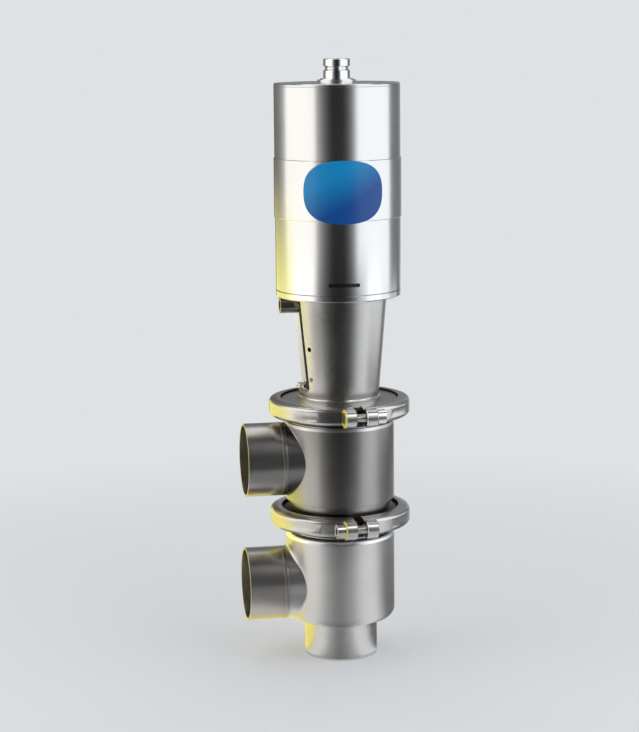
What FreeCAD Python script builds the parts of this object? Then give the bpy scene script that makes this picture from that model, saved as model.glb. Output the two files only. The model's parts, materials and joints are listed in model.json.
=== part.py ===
import FreeCAD, Part
import math
import os
import Sketcher

# Pneumatic changeover seat valve: two clamped housings with three ports, a lantern and a spring-closed
# actuator. Millimetres, +Z up along the stem. The origin is the centre of the bottom port's end face and the
# side ports point along -X.

SIZES = {
    # ports
    "port_outer_radius": 35.0,
    "port_wall": 2.0,
    "port_reach": 92.9,
    "collar_reach": 57.5,
    "collar_wall": 2.6,
    "collar_round": 3.0,
    "upper_collar_round": 1.0,
    "lower_port_height": 72.4,
    "upper_port_height": 194.4,
    "bottom_port_length": 37.0,
    # housings
    "housing_radius": 52.4,
    "housing_wall": 3.0,
    "neck_radius": 48.0,
    "neck_wall": 3.0,
    "base_thickness": 6.0,
    "base_round": 9.0,
    "lower_wall_height": 87.0,
    "lower_shoulder_drop": 2.5,
    "lower_shoulder_round": 7.0,
    "upper_wall_start": 16.7,
    "upper_wall_height": 75.7,
    "upper_edge_round": 0.45,
    # clamped joints
    "lower_joint_height": 138.4,
    "upper_joint_height": 244.7,
    "ferrule_radius": 59.5,
    "ferrule_rim": 2.85,
    "ferrule_slope": 0.364,
    "gasket_thickness": 1.0,
    "gasket_radius": 56.0,
    "plate_thickness": 2.0,
    # seats and plug
    "seat_width": 4.6,
    "seat_ring_depth": 7.0,
    "seat_ring_fit": 0.1,
    "running_gap": 0.3,
    "stroke": 30.0,
    "plug_seal_inset": 1.0,
    "plug_seal_width": 3.0,
    "plug_seal_root": 2.5,
    "plug_seal_back": 2.6,
    "plug_rim": 2.3,
    "plug_rim_step": 0.4,
    "plug_cone_rise": 6.0,
    "plug_hub_radius": 12.0,
    "plug_hub_height": 6.0,
    "upper_hub_height": 6.3,
    "stem_radius": 10.0,
    "spigot_radius": 8.0,
    "plug_nut_height": 9.0,
    "plug_nut_width": 23.4,
    "plug_nut_gap": 0.7,
    # closure plate
    "closure_plug_depth": 5.0,
    "closure_fit": 0.1,
    "closure_hub_radius": 24.0,
    "closure_hub_height": 15.3,
    "closure_web": 2.0,
    "closure_web_gap": 1.0,
    "shaft_seal_radius": 15.0,
    "shaft_bush_wall": 4.0,
    "shaft_fit": 0.05,
    # lantern
    "lantern_top_radius": 46.0,
    "lantern_base_radius": 38.0,
    "lantern_wall": 4.5,
    "lantern_plate_radius": 55.0,
    "lantern_plate_height": 5.1,
    "foot_ring_radius": 40.6,
    "foot_ring_height": 2.4,
    "window_width": 38.6,
    "window_sill": 8.7,
    "window_corner": 4.0,
    "window_bevel": 2.6,
    "lantern_flange_height": 9.0,
    "lantern_flange_width": 16.5,
    "lantern_screw_circle": 35.5,
    "screw_radius": 3.0,
    "screw_head_radius": 5.0,
    "screw_head_height": 6.0,
    "screw_bite": 9.0,
    "sensor_hole_radius": 2.25,
    "sensor_hole_angle": 51.6,
    "sensor_hole_height": 303.2,
    "sensor_hole_pitch": 29.1,
    # actuator
    "actuator_base_height": 351.0,
    "actuator_radius": 59.15,
    "actuator_wall": 3.0,
    "base_rim_height": 6.8,
    "base_rim_bevel": 1.0,
    "base_spigot_height": 18.5,
    "base_pocket_depth": 11.0,
    "base_pocket_wall": 6.0,
    "base_hub_radius": 24.0,
    "base_lip": 2.0,
    "wire_thickness": 3.2,
    "wire_rise": 7.7,
    "wire_bite": 1.5,
    "wire_room": 0.1,
    "wire_slot_angle": 28.7,
    "wire_slot_turn": -4.85,
    "cover_seal_height": 3.2,
    "cover_seal_rise": 13.4,
    "cover_seal_depth": 2.6,
    "barrel_height": 189.8,
    "top_rim_height": 3.0,
    "top_rim_bevel": 0.9,
    "top_spigot_depth": 9.6,
    "top_hub_radius": 18.0,
    "top_hub_height": 2.8,
    "top_hub_depth": 24.0,
    "top_hub_wall": 4.5,
    "sleeve_thickness": 0.78,
    "sleeve_start": 74.8,
    "sleeve_length": 55.6,
    "air_boss_radius": 8.0,
    "air_boss_reach": 56.5,
    "air_boss_length": 27.5,
    "air_neck_radius": 5.5,
    "air_port_radius": 4.3,
    "air_port_depth": 12.0,
    "air_way_radius": 2.5,
    "air_way_offset": 38.0,
    # piston and rod
    "rod_radius": 12.5,
    "rod_top": 572.65,
    "rod_groove_height": 4.4,
    "rod_groove_drop": 6.55,
    "rod_groove_depth": 1.7,
    "rod_end_bevel": 0.6,
    "bush_wall": 3.0,
    "top_bush_rise": 1.0,
    "bush_length": 14.0,
    "rod_seal_height": 5.0,
    "piston_clearance": 4.5,
    "piston_height": 24.0,
    "piston_hub_radius": 22.0,
    "piston_web": 10.0,
    "piston_skirt": 5.8,
    "piston_side_gap": 0.35,
    "piston_seal_rise": 3.0,
    "piston_seal_height": 5.0,
    "piston_seal_depth": 3.2,
    "piston_band_drop": 4.0,
    "piston_band_height": 5.0,
    "piston_band_depth": 2.0,
    "piston_ring_thickness": 2.0,
    "piston_ring_bite": 1.5,
    "piston_ring_width": 4.0,
    "spring_radius": 38.0,
    "spring_wire": 4.0,
    "spring_turns": 6.0,
    # coupling
    "coupling_rise": 24.0,
    "coupling_radius": 19.0,
    "coupling_lip": 5.0,
    "coupling_split": 1.0,
    "coupling_room": 0.1,
    "neck_bite": 3.0,
    "head_height": 6.0,
    "coupling_screw_offset": 15.0,
    "coupling_screw_radius": 2.0,
    "coupling_screw_length": 18.5,
    "coupling_head_radius": 3.5,
    "coupling_head_height": 4.0,
    "coupling_head_seat": 8.5,
    # clamps
    "clamp_radius": 67.4,
    "clamp_bore": 56.4,
    "clamp_band": 15.0,
    "clamp_lip_height": 17.8,
    "clamp_lip_radius": 60.6,
    "clamp_fit": 0.05,
    "clamp_root_gap": 1.0,
    "clamp_turn": 5.4,
    "clamp_edge_round": 4.0,
    "lug_radius": 8.75,
    "lug_length": 11.0,
    "lug_gap": 9.5,
    "lug_offset": 71.0,
    "lug_bevel": 0.8,
    "clamp_screw_radius": 4.0,
    "clamp_head_radius": 7.0,
    "clamp_head_height": 8.0,
    "clamp_socket_width": 6.0,
    "clamp_socket_depth": 4.0,
    "clamp_bush_radius": 6.3,
    "hinge_angle": 18.0,
    "hinge_offset": 66.5,
    "hinge_end_angle": 7.0,
    "hinge_tongue": 7.0,
    "hinge_tongue_radius": 5.2,
    "hinge_tongue_length": 13.0,
    "hinge_gap": 0.3,
    "hinge_ear_rise": 0.1,
    "hinge_pin_radius": 2.5,
    "hinge_head_radius": 4.2,
    "hinge_head_height": 2.5,
}

document = FreeCAD.newDocument("changeover_valve")
sheet = document.addObject("Spreadsheet::Sheet", "sizes")
for row, (alias, number) in enumerate(SIZES.items(), start=1):
    sheet.set(f"A{row}", alias.replace("_", " "))
    sheet.set(f"B{row}", str(number))
    sheet.setAlias(f"B{row}", alias)
document.recompute()


class Size:
    """A length or angle as an expression on the sheet, with its present value beside it."""

    def __init__(self, text, value):
        self.text = text
        self.value = value

    def joined(self, sign, other, value):
        return Size(f"({self.text} {sign} {as_size(other).text})", value)

    def __add__(self, other):
        return self.joined("+", other, self.value + as_size(other).value)

    def __sub__(self, other):
        return self.joined("-", other, self.value - as_size(other).value)

    def __mul__(self, other):
        return self.joined("*", other, self.value * as_size(other).value)

    def __truediv__(self, other):
        return self.joined("/", other, self.value / as_size(other).value)

    def __radd__(self, other):
        return as_size(other) + self

    def __rsub__(self, other):
        return as_size(other) - self

    def __rmul__(self, other):
        return as_size(other) * self

    def __neg__(self):
        return Size(f"(0 - {self.text})", -self.value)


def as_size(number):
    return number if isinstance(number, Size) else Size(repr(float(number)), float(number))


class Sheet:
    """Gives each cell of the sheet by its alias."""

    def __getattr__(self, alias):
        return Size(f"sizes.{alias}", SIZES[alias])


d = Sheet()
ZERO = as_size(0)
QUARTER = 90
HALF_TURN = 180
FULL_TURN = 360
DEGREES = 180 / math.pi
DIAGONAL = math.sqrt(0.5)
HEX_CORNER = 1 / math.sqrt(3)
UP = FreeCAD.Vector(0, 0, 1)
# The turning axis of a sketch plane's own upright, which stands along the body's Z on the XZ and YZ planes.
UPRIGHT = FreeCAD.Vector(0, 1, 0)
pieces = []


def bind(feature, name, size):
    """Sets a property and binds it to the sheet."""
    size = as_size(size)
    setattr(feature, name, size.value)
    feature.setExpression(name, size.text)


def new_piece(label):
    body = document.addObject("PartDesign::Body", label)
    body.Label = label
    body.AllowCompound = True
    pieces.append(body)
    return body


def new_sketch(body, role, shift=(0, 0, 0), swing=0, axis=UPRIGHT):
    """A sketch on one of the body's planes, shifted along the plane's own axes and swung about one of them."""
    sketch = body.newObject("Sketcher::SketchObject", f"{body.Name}_sketch")
    plane = [p for p in body.Origin.OriginFeatures if p.Role == role][0]
    sketch.AttachmentSupport = (plane, [""])
    sketch.MapMode = "FlatFace"
    shift = [as_size(part) for part in shift]
    swing = as_size(swing)
    base = FreeCAD.Vector(*[part.value for part in shift])
    sketch.AttachmentOffset = FreeCAD.Placement(base, FreeCAD.Rotation(axis, swing.value))
    for name, part in zip("xyz", shift):
        sketch.setExpression(f"AttachmentOffset.Base.{name}", part.text)
    return sketch


def fix_point(sketch, geometry, position, x, y):
    for kind, size in (("DistanceX", as_size(x)), ("DistanceY", as_size(y))):
        constraint = Sketcher.Constraint(kind, -1, 1, geometry, position, size.value)
        index = sketch.addConstraint(constraint)
        sketch.setExpression(f"Constraints[{index}]", size.text)


def draw_outline(sketch, points):
    """A closed outline of straight lines with every corner bound to the sheet."""
    corners = [(as_size(x), as_size(y)) for x, y in points]
    first = sketch.GeometryCount
    count = len(corners)
    for index, (x, y) in enumerate(corners):
        next_x, next_y = corners[(index + 1) % count]
        start = FreeCAD.Vector(x.value, y.value, 0)
        end = FreeCAD.Vector(next_x.value, next_y.value, 0)
        sketch.addGeometry(Part.LineSegment(start, end), False)
    for index, (x, y) in enumerate(corners):
        following = first + (index + 1) % count
        sketch.addConstraint(Sketcher.Constraint("Coincident", first + index, 2, following, 1))
        fix_point(sketch, first + index, 1, x, y)


def draw_box(sketch, left, right, low, high):
    draw_outline(sketch, [(left, low), (right, low), (right, high), (left, high)])


def draw_circle(sketch, radius, x=ZERO, y=ZERO):
    radius, x, y = as_size(radius), as_size(x), as_size(y)
    centre = FreeCAD.Vector(x.value, y.value, 0)
    circle = sketch.addGeometry(Part.Circle(centre, UP, radius.value), False)
    fix_point(sketch, circle, 3, x, y)
    index = sketch.addConstraint(Sketcher.Constraint("Radius", circle, radius.value))
    sketch.setExpression(f"Constraints[{index}]", radius.text)


def hexagon(width, y=ZERO):
    """The corners of a hexagon of that width across its flats."""
    corner = width * HEX_CORNER
    side = width / 2
    return [
        (ZERO, y - corner),
        (side, y - corner / 2),
        (side, y + corner / 2),
        (ZERO, y + corner),
        (-side, y + corner / 2),
        (-side, y - corner / 2),
    ]


def checked_cut(body, before, cut):
    document.recompute()
    if not body.Shape.Volume < before - 0.01:
        raise RuntimeError(f"{cut.Label} removes nothing from {body.Label}")
    return cut


def turned(body, points, angle=FULL_TURN, swing=0, shift=(0, 0, 0), role="XZ_Plane", axis="V_Axis"):
    """A turned solid: the outline gives radius and height, and it spins about the sketch's upright."""
    sketch = new_sketch(body, role, shift, swing)
    draw_outline(sketch, points)
    spin = body.newObject("PartDesign::Revolution", f"{body.Name}_turned")
    spin.Profile = sketch
    spin.ReferenceAxis = (sketch, [axis])
    spin.Midplane = True
    bind(spin, "Angle", angle)
    document.recompute()
    return spin


def grooved(body, points, angle=FULL_TURN, swing=0):
    """A turned cut with the outline's radius and height."""
    sketch = new_sketch(body, "XZ_Plane", swing=swing)
    draw_outline(sketch, points)
    document.recompute()
    before = body.Shape.Volume
    cut = body.newObject("PartDesign::Groove", f"{body.Name}_groove")
    cut.Profile = sketch
    cut.ReferenceAxis = (sketch, ["V_Axis"])
    cut.Midplane = True
    bind(cut, "Angle", angle)
    return checked_cut(body, before, cut)


def padded(body, sketch, length, both_ways=False, reverse=False):
    pad = body.newObject("PartDesign::Pad", f"{body.Name}_pad")
    pad.Profile = sketch
    pad.Midplane = both_ways
    pad.Reversed = reverse
    bind(pad, "Length", length)
    document.recompute()
    return pad


def pocketed(body, sketch, depth, both_ways=False, reverse=False):
    """A pocket against the sketch's normal, or along it when reversed."""
    document.recompute()
    before = body.Shape.Volume
    cut = body.newObject("PartDesign::Pocket", f"{body.Name}_pocket")
    cut.Profile = sketch
    cut.Midplane = both_ways
    cut.Reversed = reverse
    bind(cut, "Length", depth)
    return checked_cut(body, before, cut)


def repeated(body, feature, count):
    """Repeats a feature round the body's Z axis."""
    upright = [a for a in body.Origin.OriginFeatures if a.Role == "Z_Axis"][0]
    pattern = body.newObject("PartDesign::PolarPattern", f"{body.Name}_pattern")
    pattern.Originals = [feature]
    pattern.Axis = (upright, [""])
    pattern.Angle = FULL_TURN
    pattern.Occurrences = count
    body.Tip = pattern
    document.recompute()
    return pattern


def dressed(body, kind, size_name, test, size):
    """A fillet or chamfer on the edges that the test picks."""
    tip = body.Tip
    names = [f"Edge{i}" for i, edge in enumerate(tip.Shape.Edges, start=1) if test(edge)]
    if not names:
        raise RuntimeError(f"no edge to dress in {body.Label}")
    dress = body.newObject(kind, f"{body.Name}_edge")
    dress.Base = (tip, names)
    bind(dress, size_name, size)
    document.recompute()
    return dress


def rounded(body, test, radius):
    return dressed(body, "PartDesign::Fillet", "Radius", test, radius)


def bevelled(body, test, width):
    return dressed(body, "PartDesign::Chamfer", "Size", test, width)


def near(first, second):
    return abs(first - second) < 0.001


def ring_edge(*places):
    """Picks the round edges with one of these radii and heights on the Z axis."""
    wanted = [(as_size(radius).value, as_size(height).value) for radius, height in places]

    def test(edge):
        if not isinstance(edge.Curve, Part.Circle):
            return False
        radius, height = edge.Curve.Radius, edge.Curve.Center.z
        return any(near(radius, r) and near(height, h) for r, h in wanted)

    return test


def saddle_edge(edge):
    """Picks the curve where a side collar meets the turned wall."""
    return isinstance(edge.Curve, Part.BSplineCurve)


def ring(label, inner, outer, low, high):
    """A plain turned ring."""
    body = new_piece(label)
    turned(body, [(inner, low), (outer, low), (outer, high), (inner, high)])
    return body


# Port tubes: thin round tube with square-cut ends for butt welding.
port_bore = d.port_outer_radius - d.port_wall
ring("bottom_tube", port_bore, d.port_outer_radius, ZERO, d.bottom_port_length)


def side_tube(label, height):
    body = new_piece(label)
    sketch = new_sketch(body, "YZ_Plane", (0, 0, -d.port_reach))
    draw_circle(sketch, d.port_outer_radius, ZERO, height)
    draw_circle(sketch, port_bore, ZERO, height)
    padded(body, sketch, d.port_reach - d.collar_reach)


side_tube("lower_side_tube", d.lower_port_height)
side_tube("upper_side_tube", d.upper_port_height)

# Housings: a turned shell with clamp ferrules, and a side collar drawn out of the wall with a rounded root.
stack_half = d.gasket_thickness + d.plate_thickness / 2
housing_bore = d.housing_radius - d.housing_wall
neck_bore = d.neck_radius - d.neck_wall
collar_bore = d.port_outer_radius - d.collar_wall
collar_length = d.collar_reach - d.housing_radius / 2
ferrule_depth = d.ferrule_rim + (d.ferrule_radius - d.neck_radius) * d.ferrule_slope
seat_bore = collar_bore
seat_outer = seat_bore + d.seat_width


def add_collar(body, height, root_round):
    sketch = new_sketch(body, "YZ_Plane", (0, 0, -d.collar_reach))
    draw_circle(sketch, d.port_outer_radius, ZERO, height)
    padded(body, sketch, collar_length)
    rounded(body, saddle_edge, root_round)


def bore_collar(body, height):
    sketch = new_sketch(body, "YZ_Plane", (0, 0, -d.collar_reach))
    draw_circle(sketch, collar_bore, ZERO, height)
    pocketed(body, sketch, collar_length, reverse=True)


def lower_housing():
    base = d.bottom_port_length
    floor = base + d.base_thickness
    shoulder = base + d.lower_wall_height
    shoulder_edge = shoulder - d.lower_shoulder_drop
    face = d.lower_joint_height - stack_half
    body = new_piece("lower_body")
    turned(
        body,
        [
            (ZERO, base),
            (d.housing_radius, base),
            (d.housing_radius, shoulder_edge),
            (d.neck_radius, shoulder),
            (d.neck_radius, face - ferrule_depth),
            (d.ferrule_radius, face - d.ferrule_rim),
            (d.ferrule_radius, face),
            (ZERO, face),
        ],
    )
    rounded(body, ring_edge((d.housing_radius, base)), d.base_round)
    rounded(body, ring_edge((d.housing_radius, shoulder_edge)), d.lower_shoulder_round)
    add_collar(body, d.lower_port_height, d.collar_round)
    grooved(
        body,
        [
            (ZERO, base),
            (seat_bore, base),
            (seat_bore, floor - d.seat_width),
            (seat_outer, floor),
            (housing_bore, floor),
            (housing_bore, shoulder_edge - d.housing_wall),
            (neck_bore, shoulder_edge - d.housing_wall),
            (neck_bore, face),
            (ZERO, face),
        ],
    )
    bore_collar(body, d.lower_port_height)
    return floor


def upper_housing():
    base = d.lower_joint_height + stack_half
    wall_start = d.lower_joint_height + d.upper_wall_start
    wall_end = wall_start + d.upper_wall_height
    face = d.upper_joint_height - stack_half
    body = new_piece("upper_body")
    turned(
        body,
        [
            (ZERO, base),
            (d.ferrule_radius, base),
            (d.ferrule_radius, base + d.ferrule_rim),
            (d.neck_radius, base + ferrule_depth),
            (d.neck_radius, wall_start),
            (d.housing_radius, wall_start),
            (d.housing_radius, wall_end),
            (d.neck_radius, wall_end),
            (d.neck_radius, face - ferrule_depth),
            (d.ferrule_radius, face - d.ferrule_rim),
            (d.ferrule_radius, face),
            (ZERO, face),
        ],
    )
    rounded(body, ring_edge((d.housing_radius, wall_start), (d.housing_radius, wall_end)), d.upper_edge_round)
    add_collar(body, d.upper_port_height, d.upper_collar_round)
    grooved(
        body,
        [
            (ZERO, base),
            (neck_bore, base),
            (neck_bore, wall_start + d.housing_wall),
            (housing_bore, wall_start + d.housing_wall),
            (housing_bore, wall_end - d.housing_wall),
            (neck_bore, wall_end - d.housing_wall),
            (neck_bore, face),
            (ZERO, face),
        ],
    )
    bore_collar(body, d.upper_port_height)


lower_seat_height = lower_housing()
upper_housing()

# Upper seat ring: its rim is clamped between the housings with a gasket on each side, its cone faces down.
plate_low = d.lower_joint_height - d.plate_thickness / 2
plate_high = d.lower_joint_height + d.plate_thickness / 2
ring_bottom = plate_low - d.seat_ring_depth
ring_outer = neck_bore - d.seat_ring_fit
turned(
    new_piece("upper_seat_ring"),
    [
        (seat_outer, ring_bottom),
        (ring_outer, ring_bottom),
        (ring_outer, plate_low),
        (d.gasket_radius, plate_low),
        (d.gasket_radius, plate_high),
        (seat_bore, plate_high),
        (seat_bore, ring_bottom + d.seat_width),
    ],
)
closure_low = d.upper_joint_height - stack_half + d.gasket_thickness
ring("seat_ring_lower_gasket", neck_bore, d.gasket_radius, plate_low - d.gasket_thickness, plate_low)
ring("seat_ring_upper_gasket", neck_bore, d.gasket_radius, plate_high, plate_high + d.gasket_thickness)
ring("bonnet_gasket", neck_bore, d.gasket_radius, closure_low - d.gasket_thickness, closure_low)

# Closure plate: shuts the upper housing and holds the shaft seal below and the shaft bush above its web.
closure_bottom = closure_low - d.closure_plug_depth
lantern_face = d.upper_joint_height + stack_half
closure_top = lantern_face + d.closure_hub_height
web_low = closure_low
web_high = web_low + d.closure_web
shaft_bush_radius = d.stem_radius + d.shaft_fit + d.shaft_bush_wall
closure_plug = neck_bore - d.closure_fit
turned(
    new_piece("closure_plate"),
    [
        (d.shaft_seal_radius, closure_bottom),
        (closure_plug, closure_bottom),
        (closure_plug, closure_low),
        (d.gasket_radius, closure_low),
        (d.gasket_radius, lantern_face),
        (d.closure_hub_radius, lantern_face),
        (d.closure_hub_radius, closure_top),
        (shaft_bush_radius, closure_top),
        (shaft_bush_radius, web_high),
        (d.stem_radius + d.closure_web_gap, web_high),
        (d.stem_radius + d.closure_web_gap, web_low),
        (d.shaft_seal_radius, web_low),
    ],
)
shaft_bore = d.stem_radius + d.shaft_fit
ring("shaft_seal", shaft_bore, d.shaft_seal_radius, closure_bottom, web_low)
ring("shaft_bush", shaft_bore, shaft_bush_radius, web_high, closure_top)

# Plug: two discs on the stem's spigot with a spacer between them, held from below by a recessed nut.
seal_inner = seat_bore + d.plug_seal_inset
seal_outer = seal_inner + d.plug_seal_width
seal_root = seal_inner - d.plug_seal_root
disc_radius = seal_outer - d.plug_rim_step
nut_pocket = d.plug_nut_width * HEX_CORNER + d.plug_nut_gap


def lower_plug():
    """Gives the heights of the disc's underside and of the top of its hub."""
    seal_edge = lower_seat_height - (seat_outer - seal_outer) + d.running_gap
    underside = seal_edge - d.plug_seal_width
    seal_back = seal_edge + d.plug_seal_back
    rim_top = seal_back + d.plug_rim
    hub_start = rim_top + d.plug_cone_rise
    hub_top = hub_start + d.plug_hub_height
    pocket_top = underside + d.plug_nut_height
    body = new_piece("lower_plug_disc")
    turned(
        body,
        [
            (d.spigot_radius, pocket_top),
            (nut_pocket, pocket_top),
            (nut_pocket, underside),
            (seal_root, underside),
            (seal_root, seal_back),
            (disc_radius, seal_back),
            (disc_radius, rim_top),
            (d.plug_hub_radius, hub_start),
            (d.plug_hub_radius, hub_top),
            (d.spigot_radius, hub_top),
        ],
    )
    turned(
        new_piece("lower_plug_seal"),
        [
            (seal_root, underside),
            (seal_inner, underside),
            (seal_outer, seal_edge),
            (seal_outer, seal_back),
            (seal_root, seal_back),
        ],
    )
    nut = new_piece("plug_nut")
    sketch = new_sketch(nut, "XY_Plane", (0, 0, underside))
    draw_outline(sketch, hexagon(d.plug_nut_width))
    draw_circle(sketch, d.spigot_radius)
    padded(nut, sketch, d.plug_nut_height)
    return underside, hub_top


def upper_plug():
    """Gives the heights of the hub's underside and of the stem's shoulder on it."""
    seal_edge = ring_bottom + (seat_outer - seal_outer) - d.stroke - d.running_gap
    seal_top = seal_edge + d.plug_seal_width
    seal_back = seal_edge - d.plug_seal_back
    rim_low = seal_back - d.plug_rim
    hub_end = rim_low - d.plug_cone_rise
    hub_low = hub_end - d.plug_hub_height
    shoulder = seal_top + d.upper_hub_height
    body = new_piece("upper_plug_disc")
    turned(
        body,
        [
            (d.spigot_radius, hub_low),
            (d.plug_hub_radius, hub_low),
            (d.plug_hub_radius, hub_end),
            (disc_radius, rim_low),
            (disc_radius, seal_back),
            (seal_root, seal_back),
            (seal_root, seal_top),
            (d.plug_hub_radius, shoulder),
            (d.spigot_radius, shoulder),
        ],
    )
    turned(
        new_piece("upper_plug_seal"),
        [
            (seal_root, seal_back),
            (seal_outer, seal_back),
            (seal_outer, seal_edge),
            (seal_inner, seal_top),
            (seal_root, seal_top),
        ],
    )
    return hub_low, shoulder


plug_underside, lower_hub_top = lower_plug()
upper_hub_low, stem_shoulder = upper_plug()
ring("plug_spacer", d.spigot_radius, d.plug_hub_radius, lower_hub_top, upper_hub_low)

# Valve stem: ground bar with a spigot for the plug below and a necked head for the coupling above.
coupling_low = closure_top + d.coupling_rise
coupling_lip_top = coupling_low + d.coupling_lip
stem_head_top = coupling_lip_top + d.head_height
stem_neck = d.stem_radius - d.neck_bite
turned(
    new_piece("valve_stem"),
    [
        (ZERO, plug_underside),
        (d.spigot_radius, plug_underside),
        (d.spigot_radius, stem_shoulder),
        (d.stem_radius, stem_shoulder),
        (d.stem_radius, coupling_low),
        (stem_neck, coupling_low),
        (stem_neck, coupling_lip_top),
        (d.stem_radius, coupling_lip_top),
        (d.stem_radius, stem_head_top),
        (ZERO, stem_head_top),
    ],
)

# Lantern: cast yoke on its clamped foot plate, open to one side up to the actuator.
plate_top = lantern_face + d.lantern_plate_height
ring_top = plate_top + d.foot_ring_height
plate_back = lantern_face + d.ferrule_rim + (d.ferrule_radius - d.lantern_plate_radius) * d.ferrule_slope
cone_slope = (d.lantern_top_radius - d.lantern_base_radius) / (d.actuator_base_height - ring_top)
flange_low = d.actuator_base_height - d.lantern_flange_height
flange_bore = d.lantern_top_radius - d.lantern_flange_width
window_low = ring_top + d.window_sill


def lantern_radius(height):
    return d.lantern_base_radius + (height - ring_top) * cone_slope


def window_corner_edge(edge):
    """Picks the two lower corner edges of the window, which run along X."""
    if not isinstance(edge.Curve, Part.Line) or not near(abs(edge.Curve.Direction.x), 1):
        return False
    middle = edge.CenterOfMass
    at_sill = near(middle.z, window_low.value)
    return at_sill and near(abs(middle.y), d.window_width.value / 2)


def window_side_edge(edge):
    """Picks the two long outer edges of the window, on the cone."""
    ends = edge.Vertexes
    if len(ends) != 2 or abs(ends[0].Z - ends[1].Z) < d.window_width.value:
        return False
    at_side = all(near(abs(end.Y), d.window_width.value / 2) for end in ends)
    return at_side and all(near(math.hypot(end.X, end.Y), lantern_radius(end.Z).value) for end in ends)


def lantern():
    body = new_piece("lantern")
    turned(
        body,
        [
            (d.closure_hub_radius + d.closure_fit, lantern_face),
            (d.ferrule_radius, lantern_face),
            (d.ferrule_radius, lantern_face + d.ferrule_rim),
            (d.lantern_plate_radius, plate_back),
            (d.lantern_plate_radius, plate_top),
            (d.foot_ring_radius, plate_top),
            (d.foot_ring_radius, ring_top),
            (d.lantern_base_radius, ring_top),
            (d.lantern_top_radius, d.actuator_base_height),
            (flange_bore, d.actuator_base_height),
            (flange_bore, flange_low),
            (lantern_radius(flange_low) - d.lantern_wall, flange_low),
            (d.lantern_base_radius - d.lantern_wall, ring_top),
            (d.closure_hub_radius + d.closure_fit, ring_top),
        ],
    )
    window = new_sketch(body, "YZ_Plane")
    half_width = d.window_width / 2
    draw_box(window, -half_width, half_width, window_low, d.actuator_base_height)
    pocketed(body, window, d.lantern_top_radius)
    rounded(body, window_corner_edge, d.window_corner)
    bevelled(body, window_side_edge, d.window_bevel)
    sensor_holes = new_sketch(body, "XZ_Plane", swing=-d.sensor_hole_angle)
    draw_circle(sensor_holes, d.sensor_hole_radius, ZERO, d.sensor_hole_height)
    draw_circle(sensor_holes, d.sensor_hole_radius, ZERO, d.sensor_hole_height - d.sensor_hole_pitch)
    pocketed(body, sensor_holes, d.lantern_top_radius, reverse=True)
    screw_hole = new_sketch(body, "XY_Plane", (0, 0, flange_low))
    across = d.lantern_screw_circle * DIAGONAL
    draw_circle(screw_hole, d.screw_radius, across, across)
    hole = pocketed(body, screw_hole, d.lantern_flange_height, reverse=True)
    repeated(body, hole, 4)


def lantern_screws():
    body = new_piece("lantern_screws")
    across = d.lantern_screw_circle * DIAGONAL
    screw = turned(
        body,
        [
            (ZERO, flange_low - d.screw_head_height),
            (d.screw_head_radius, flange_low - d.screw_head_height),
            (d.screw_head_radius, flange_low),
            (d.screw_radius, flange_low),
            (d.screw_radius, d.actuator_base_height + d.screw_bite),
            (ZERO, d.actuator_base_height + d.screw_bite),
        ],
        shift=(across, 0, across),
    )
    repeated(body, screw, 4)


lantern()
lantern_screws()

# Air port boss: round bar under the bottom cover, with the air way up into the cylinder.
boss_height = d.actuator_base_height - d.air_boss_radius


def air_port_boss():
    body = new_piece("air_port_boss")
    bar = new_sketch(body, "YZ_Plane", (0, 0, -d.air_boss_reach))
    draw_circle(bar, d.air_boss_radius, ZERO, boss_height)
    padded(body, bar, d.air_boss_length)
    neck = new_sketch(body, "XY_Plane", (-d.air_way_offset, 0, boss_height))
    draw_circle(neck, d.air_neck_radius)
    padded(body, neck, d.air_boss_radius)
    port = new_sketch(body, "YZ_Plane", (0, 0, -d.air_boss_reach))
    draw_circle(port, d.air_port_radius, ZERO, boss_height)
    pocketed(body, port, d.air_port_depth, reverse=True)
    way = new_sketch(body, "YZ_Plane", (0, 0, -d.air_boss_reach))
    draw_circle(way, d.air_way_radius, ZERO, boss_height)
    pocketed(body, way, d.air_boss_reach - d.air_way_offset, reverse=True)
    rise = new_sketch(body, "XY_Plane", (-d.air_way_offset, 0, boss_height))
    draw_circle(rise, d.air_way_radius)
    pocketed(body, rise, d.air_boss_radius, reverse=True)


air_port_boss()

# Bottom cover: rim below the barrel, spigot inside it with grooves for the retaining wire and the seal.
barrel_bore = d.actuator_radius - d.actuator_wall
rim_top = d.actuator_base_height + d.base_rim_height
spigot_top = rim_top + d.base_spigot_height
bush_outer = d.rod_radius + d.shaft_fit + d.bush_wall
bush_low = d.actuator_base_height + d.base_lip
wire_low = rim_top + d.wire_rise
wire_high = wire_low + d.wire_thickness
wire_inner = barrel_bore + d.wire_bite - d.wire_thickness
seal_low = rim_top + d.cover_seal_rise
seal_high = seal_low + d.cover_seal_height
cover_seal_inner = barrel_bore - d.cover_seal_depth


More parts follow.
